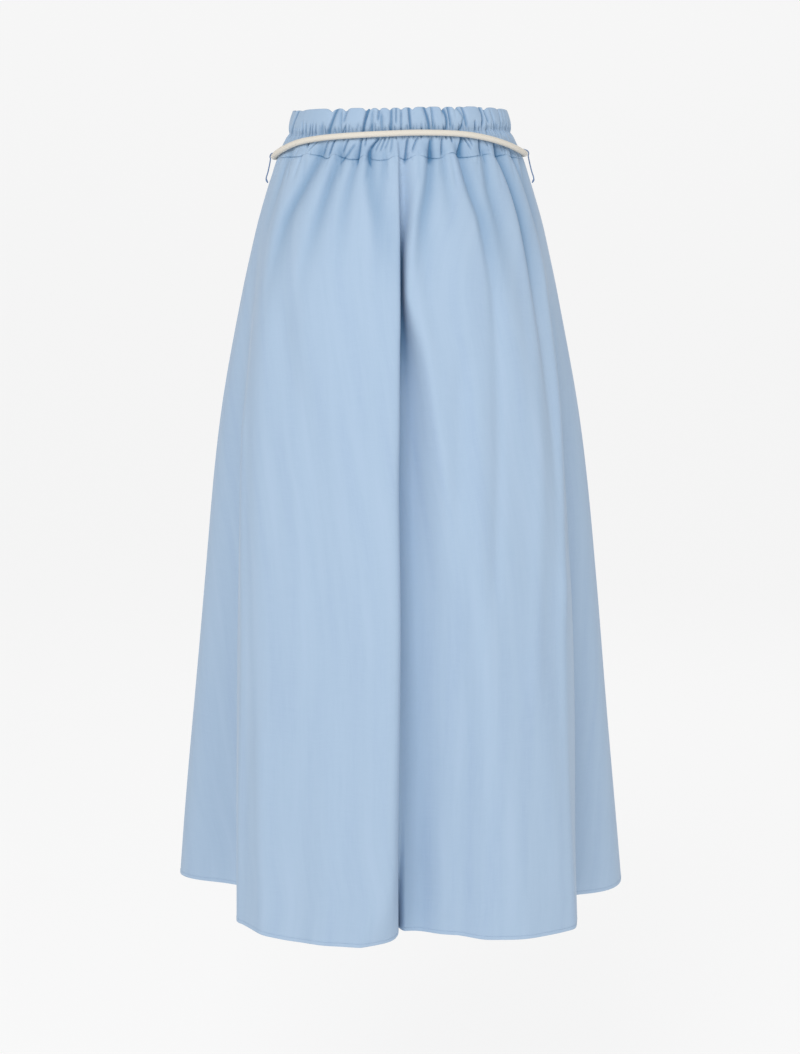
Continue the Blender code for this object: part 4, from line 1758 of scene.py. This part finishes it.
def smooth_route(route: np.ndarray, count: int) -> np.ndarray:
    """Points evenly spaced along a smooth curve through a route's points.

    Args:
        route: the route's points.
        count: how many points to make.

    Returns:
        The points.
    """
    steps = np.linalg.norm(np.diff(route, axis=0), axis=1)
    at = -np.concatenate(([0.0], np.cumsum(steps)))
    fine = np.linspace(0, at[-1], 12 * count)
    curve = np.stack([curve_through(at, route[:, axis], fine) for axis in range(3)], -1)
    measure = arc_lengths(curve, 0)
    even = np.linspace(0, measure[-1], count)
    return np.stack([np.interp(even, measure, curve[:, axis]) for axis in range(3)], -1)


def tube_frames(route: np.ndarray, guide: np.ndarray) -> tuple[np.ndarray, np.ndarray]:
    """Two directions across a route at each of its points, the first one near a guide direction.

    Args:
        route: the route's points.
        guide: the guide direction.

    Returns:
        The two directions at each point.
    """
    forward = np.gradient(route, axis=0)
    forward /= np.linalg.norm(forward, axis=1, keepdims=True)
    out = guide - forward * (forward @ guide)[:, None]
    out /= np.linalg.norm(out, axis=1, keepdims=True)
    return out, np.cross(forward, out)


@dataclass(frozen=True)
class BeltLoop:
    """A loop of twisted thread on a side seam, out from the band, down over the rope and back."""

    rope: RopeBelt
    form: SkirtForm
    angle: float
    name: str
    diameter: float = 1.6 * MM
    top: float = -0.0335
    bottom: float = -0.0730
    lift: float = 0.6 * MM
    turns_over_rope: tuple[float, ...] = (1.5, 0.75, 0.0, -0.5)
    belly: float = 1.8 * MM
    belly_share: float = 0.55
    foot_out: float = 3.2 * MM
    foot_rise: float = 3.6 * MM
    knot: float = 0.55
    knot_place: float = 3.2 * MM
    knot_reach: float = 1.1 * MM
    plies: int = 3
    twist: float = 3.4 * MM
    ply_relief: float = 0.22
    rings: int = 260
    sides: int = 18

    def anchor(self, height: float) -> tuple[np.ndarray, np.ndarray]:
        """A point on the cloth's plain outline at a height, and the direction straight out of it.

        Args:
            height: the height in metres.

        Returns:
            The point and the unit direction.
        """
        point, out = self.form.plain_face(np.array([self.angle]), np.array([height]))
        return point[0], out[0]

    def route(self) -> np.ndarray:
        """The loop's own route, from its upper end to its lower end.

        Returns:
            The route's points.
        """
        side = math.cos(math.radians(self.angle))
        centre = self.rope.centreline(np.array([self.angle]))[0][0]
        clear = self.rope.diameter / 2 + self.rope.rest_gap + self.diameter / 2
        over = [
            centre + clear * np.array((side * math.cos(turn), 0.0, math.sin(turn)))
            for turn in self.turns_over_rope
        ]
        (top, top_out), (bottom, bottom_out) = self.anchor(self.top), self.anchor(self.bottom)
        return np.array(
            (
                top + top_out * self.lift,
                *over,
                blend(over[-1], bottom, self.belly_share) + bottom_out * self.belly,
                bottom + bottom_out * self.foot_out + np.array((0, 0, self.foot_rise)),
                bottom + bottom_out * (self.foot_out - self.diameter),
                bottom + bottom_out * self.lift,
            )
        )

    def build(self) -> bpy.types.Object:
        """Makes the loop as one thread of twisted plies with closed ends.

        Returns:
            The loop.
        """
        line = smooth_route(self.route(), self.rings)
        out, across = tube_frames(line, np.array((0.0, 1.0, 0.0)))
        along = arc_lengths(line, 0)
        turns = np.linspace(0, 1, self.sides + 1)
        turn = 2 * math.pi * turns[None, :-1]
        twisted = math.pi * self.plies * along[:, None] / self.twist
        ply = np.abs(np.cos(self.plies / 2 * turn - twisted))
        knotted = 1 + self.knot * bell((along[-1] - along - self.knot_place) / self.knot_reach)
        radius = self.diameter / 2 * (1 - self.ply_relief * (1 - ply)) * knotted[:, None]
        ends = np.minimum(along, along[-1] - along) / (self.diameter / 2)
        radius = radius * np.sqrt(1 - np.square(1 - np.clip(ends, 0.02, 1)))[:, None]
        ring = np.cos(turn)[..., None] * out[:, None] + np.sin(turn)[..., None] * across[:, None]
        points = line[:, None] + radius[..., None] * ring
        uv = np.stack(np.meshgrid(along, turns * math.pi * self.diameter, indexing="ij"), -1)
        return GridMesh(self.name, points, uv, closed_columns=True).build()


@dataclass(frozen=True)
class StitchLine:
    """A row of machine stitches on the cloth, all the way round, as one joined mesh."""

    form: SkirtForm
    name: str
    height: float
    length: float = 2.6 * MM
    every: float = 3.2 * MM
    thread: float = 0.42 * MM
    samples: int = 9000
    sides: int = 5

    def faces(self, count: int, rings: int) -> list[list[int]]:
        """The corners of every face of a number of stitches, each of so many rings and two caps.

        Args:
            count: how many stitches.
            rings: how many rings each one has.

        Returns:
            The faces.
        """
        ring, side = np.meshgrid(np.arange(rings - 1), np.arange(self.sides), indexing="ij")
        next_side = (side + 1) % self.sides
        corners = ((ring, side), (ring, next_side), (ring + 1, next_side), (ring + 1, side))
        walls = np.stack([row * self.sides + column for row, column in corners], -1).reshape(-1, 4)
        first = np.arange(self.sides)
        caps = np.stack((first[::-1], (rings - 1) * self.sides + first))
        start = np.arange(count)[:, None, None] * rings * self.sides
        every_wall = (walls[None] + start).reshape(-1, 4).tolist()
        every_cap = (caps[None] + start).reshape(-1, self.sides).tolist()
        return every_wall + every_cap

    def build(self) -> bpy.types.Object:
        """Makes the stitches, each a short round-ended thread that dips into the cloth at its ends.

        Returns:
            The row of stitches.
        """
        angle = np.linspace(0, 360, self.samples + 1)
        height = np.full(angle.shape, self.height)
        line = self.form.surface(angle, height)
        down = self.form.surface(angle, height - 0.2 * MM) - line
        normal = np.cross(down, np.gradient(line, axis=0))
        normal /= np.linalg.norm(normal, axis=1, keepdims=True)
        measure = arc_lengths(line, 0)
        count = int(measure[-1] / self.every)
        # Five rings of each stitch: their places along it, their radii and their heights over the cloth
        place = np.array((0.0, 0.12, 0.5, 0.88, 1.0))
        thick = np.array((0.25, 0.8, 1.0, 0.8, 0.25)) * self.thread / 2
        sink = np.array((-0.5, 0.1, 0.35, 0.1, -0.5)) * self.thread
        at = (np.arange(count)[:, None] + 0.1) * self.every + place[None] * self.length
        middle, out, forward = (
            np.stack([np.interp(at, measure, part[:, axis]) for axis in range(3)], -1)
            for part in (line, normal, np.gradient(line, axis=0))
        )
        forward /= np.linalg.norm(forward, axis=-1, keepdims=True)
        across = np.cross(forward, out)
        middle = middle + out * sink[None, :, None]
        turn = 2 * math.pi * np.arange(self.sides) / self.sides
        ring = np.cos(turn)[:, None] * out[:, :, None] + np.sin(turn)[:, None] * across[:, :, None]
        points = middle[:, :, None] + ring * thick[None, :, None, None]
        mesh = bpy.data.meshes.new(self.name)
        mesh.from_pydata(points.reshape(-1, 3), [], self.faces(count, len(place)))
        mesh.shade_smooth()
        return add_object(self.name, mesh)


@dataclass(frozen=True)
class SoftBox:
    """A large soft light that faces the skirt."""

    name: str
    place: tuple[float, float, float]
    aim: tuple[float, float, float]
    size: float
    watts: float

    def build(self) -> None:
        """Adds the light."""
        data = bpy.data.lights.new(self.name, "AREA")
        data.shape = "SQUARE"
        data.size = self.size
        data.energy = self.watts
        lamp = add_object(self.name, data)
        lamp.location = self.place
        toward = Vector(self.aim) - Vector(self.place)
        lamp.rotation_euler = toward.to_track_quat("-Z", "Y").to_euler()


@dataclass(frozen=True)
class Studio:
    """The camera at the photograph's angle, a pale sweep and soft lights."""

    camera_place: tuple[float, float, float] = (0.0, -2.4, -0.112)
    camera_tilt: float = 81.0
    focal_pixels: float = 1967.0
    photo_height: float = 1054.0
    sensor: float = 36.0
    floor_height: float = -1.42
    floor_size: float = 14.0
    wall_height: float = 6.0
    sweep_radius: float = 2.2
    sky: str = "FFFFFF"
    sky_strength: float = 0.46
    lights: tuple[SoftBox, ...] = (
        SoftBox("key_softbox", (-0.9, -3.2, 1.8), (0.0, 0.0, -0.5), 1.8, 76.0),
        SoftBox("fill_softbox", (1.8, -2.9, 0.2), (0.0, 0.0, -0.5), 2.2, 20.0),
        SoftBox("left_softbox", (-3.2, -0.9, 0.1), (0.0, 0.0, -0.5), 1.8, 7.0),
        SoftBox("right_softbox", (3.2, -0.9, 0.1), (0.0, 0.0, -0.5), 1.8, 5.0),
        SoftBox("back_softbox", (0.6, 3.0, 1.4), (0.0, 0.0, -0.4), 2.4, 16.0),
    )

    def build(self) -> None:
        """Makes the camera, the sweep, the surrounding light and the lamps."""
        self.add_camera()
        self.add_sweep()
        self.add_sky()
        for light in self.lights:
            light.build()
        bpy.context.scene.view_settings.view_transform = "Standard"

    def add_camera(self) -> None:
        """Adds the camera and makes it the scene's."""
        data = bpy.data.cameras.new("photo_camera")
        data.sensor_width = self.sensor
        data.lens = self.focal_pixels * self.sensor / self.photo_height
        camera = add_object("photo_camera", data)
        camera.location = self.camera_place
        camera.rotation_euler = (math.radians(self.camera_tilt), 0.0, 0.0)
        bpy.context.scene.camera = camera

    def add_sweep(self) -> None:
        """Adds the floor, with its far edge turned up into a wall round a wide bend."""
        deselect()
        bpy.ops.mesh.primitive_plane_add(size=self.floor_size, location=(0, 0, self.floor_height))
        sweep = bpy.context.object
        sweep.name = "backdrop_sweep"
        bpy.ops.object.mode_set(mode="EDIT")
        bpy.ops.mesh.select_mode(type="EDGE")
        bpy.ops.mesh.select_all(action="DESELECT")
        bpy.ops.object.mode_set(mode="OBJECT")
        half = self.floor_size / 2
        for edge in sweep.data.edges:
            edge.select = all(sweep.data.vertices[v].co.y > half - 0.01 for v in edge.vertices)
        bpy.ops.object.mode_set(mode="EDIT")
        bpy.ops.mesh.extrude_region_move(TRANSFORM_OT_translate={"value": (0, 0, self.wall_height)})
        bpy.ops.object.mode_set(mode="OBJECT")
        for edge in sweep.data.edges:
            ends = [sweep.data.vertices[v].co for v in edge.vertices]
            edge.select = all(end.y > half - 0.01 and end.z < 0.01 for end in ends)
        bpy.ops.object.mode_set(mode="EDIT")
        bpy.ops.mesh.bevel(offset=self.sweep_radius, segments=24, affect="EDGES")
        bpy.ops.object.mode_set(mode="OBJECT")
        bpy.ops.object.transform_apply(location=True, rotation=True, scale=True)
        bpy.ops.object.shade_smooth()
        sweep.data.materials.append(LitBackdrop().build())
        sweep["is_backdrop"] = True
        deselect()

    def add_sky(self) -> None:
        """Gives the scene even white light from all round."""
        world = bpy.data.worlds.new("even_studio_light")
        world.use_nodes = True
        background = world.node_tree.nodes["Background"]
        background.inputs["Color"].default_value = linear_colour(self.sky)
        background.inputs["Strength"].default_value = self.sky_strength
        bpy.context.scene.world = world


@dataclass(frozen=True)
class MaxiSkirt:
    """The whole garment: two panels, two waistband halves, the rope belt, its loops and the sewing."""

    form: SkirtForm = SkirtForm()

    def build(self) -> None:
        """Builds and dresses every piece."""
        poplin = WovenPoplin().build()
        self.add_cloth(poplin)
        rope = RopeBelt(self.form)
        dress(rope.build(), BraidedCotton().build(), "cotton_rope", "rope_belt")
        thread = TwistedThread("twisted_loop_thread", "7A94B8", "566F94").build()
        for angle, side in ((0.0, "right"), (180.0, "left")):
            loop = BeltLoop(rope, self.form, angle, f"thread_loop_{side}").build()
            dress(loop, thread, "sewing_thread", f"belt_loop_{side}")
        sewing = TwistedThread("matched_sewing_thread", "A3B9D0", "97AEC9").build()
        for line in (
            StitchLine(self.form, "casing_stitches", STITCH_LINE),
            StitchLine(self.form, "hem_stitches", HEM + SkirtPanel.hem_width),
        ):
            dress(line.build(), sewing, "cotton_poplin")

    def add_cloth(self, poplin: bpy.types.Material) -> None:
        """Builds the four sheets of cloth.

        Args:
            poplin: the cloth's finish.
        """
        for side in Side:
            band = WaistbandHalf(side, self.form).build()
            dress(band.piece, poplin, "cotton_poplin", f"waistband_{side.word}")
            panel = SkirtPanel(side, self.form).build()
            dress(panel.piece, poplin, "cotton_poplin", f"skirt_{side.word}")


def write_size(cad_box: tuple[Vector, Vector]) -> None:
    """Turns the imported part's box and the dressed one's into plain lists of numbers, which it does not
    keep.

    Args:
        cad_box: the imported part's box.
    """
    boxes = {"cad": cad_box, "visual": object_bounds()}
    {name: [list(corner) for corner in box] for name, box in boxes.items()}


def main() -> None:
    """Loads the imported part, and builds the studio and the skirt."""
    logging.basicConfig(level=logging.INFO, format="%(message)s")
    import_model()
    cad_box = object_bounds()
    deselect()
    Studio().build()
    MaxiSkirt().build()
    write_size(cad_box)


if __name__ == "__main__":
    main()
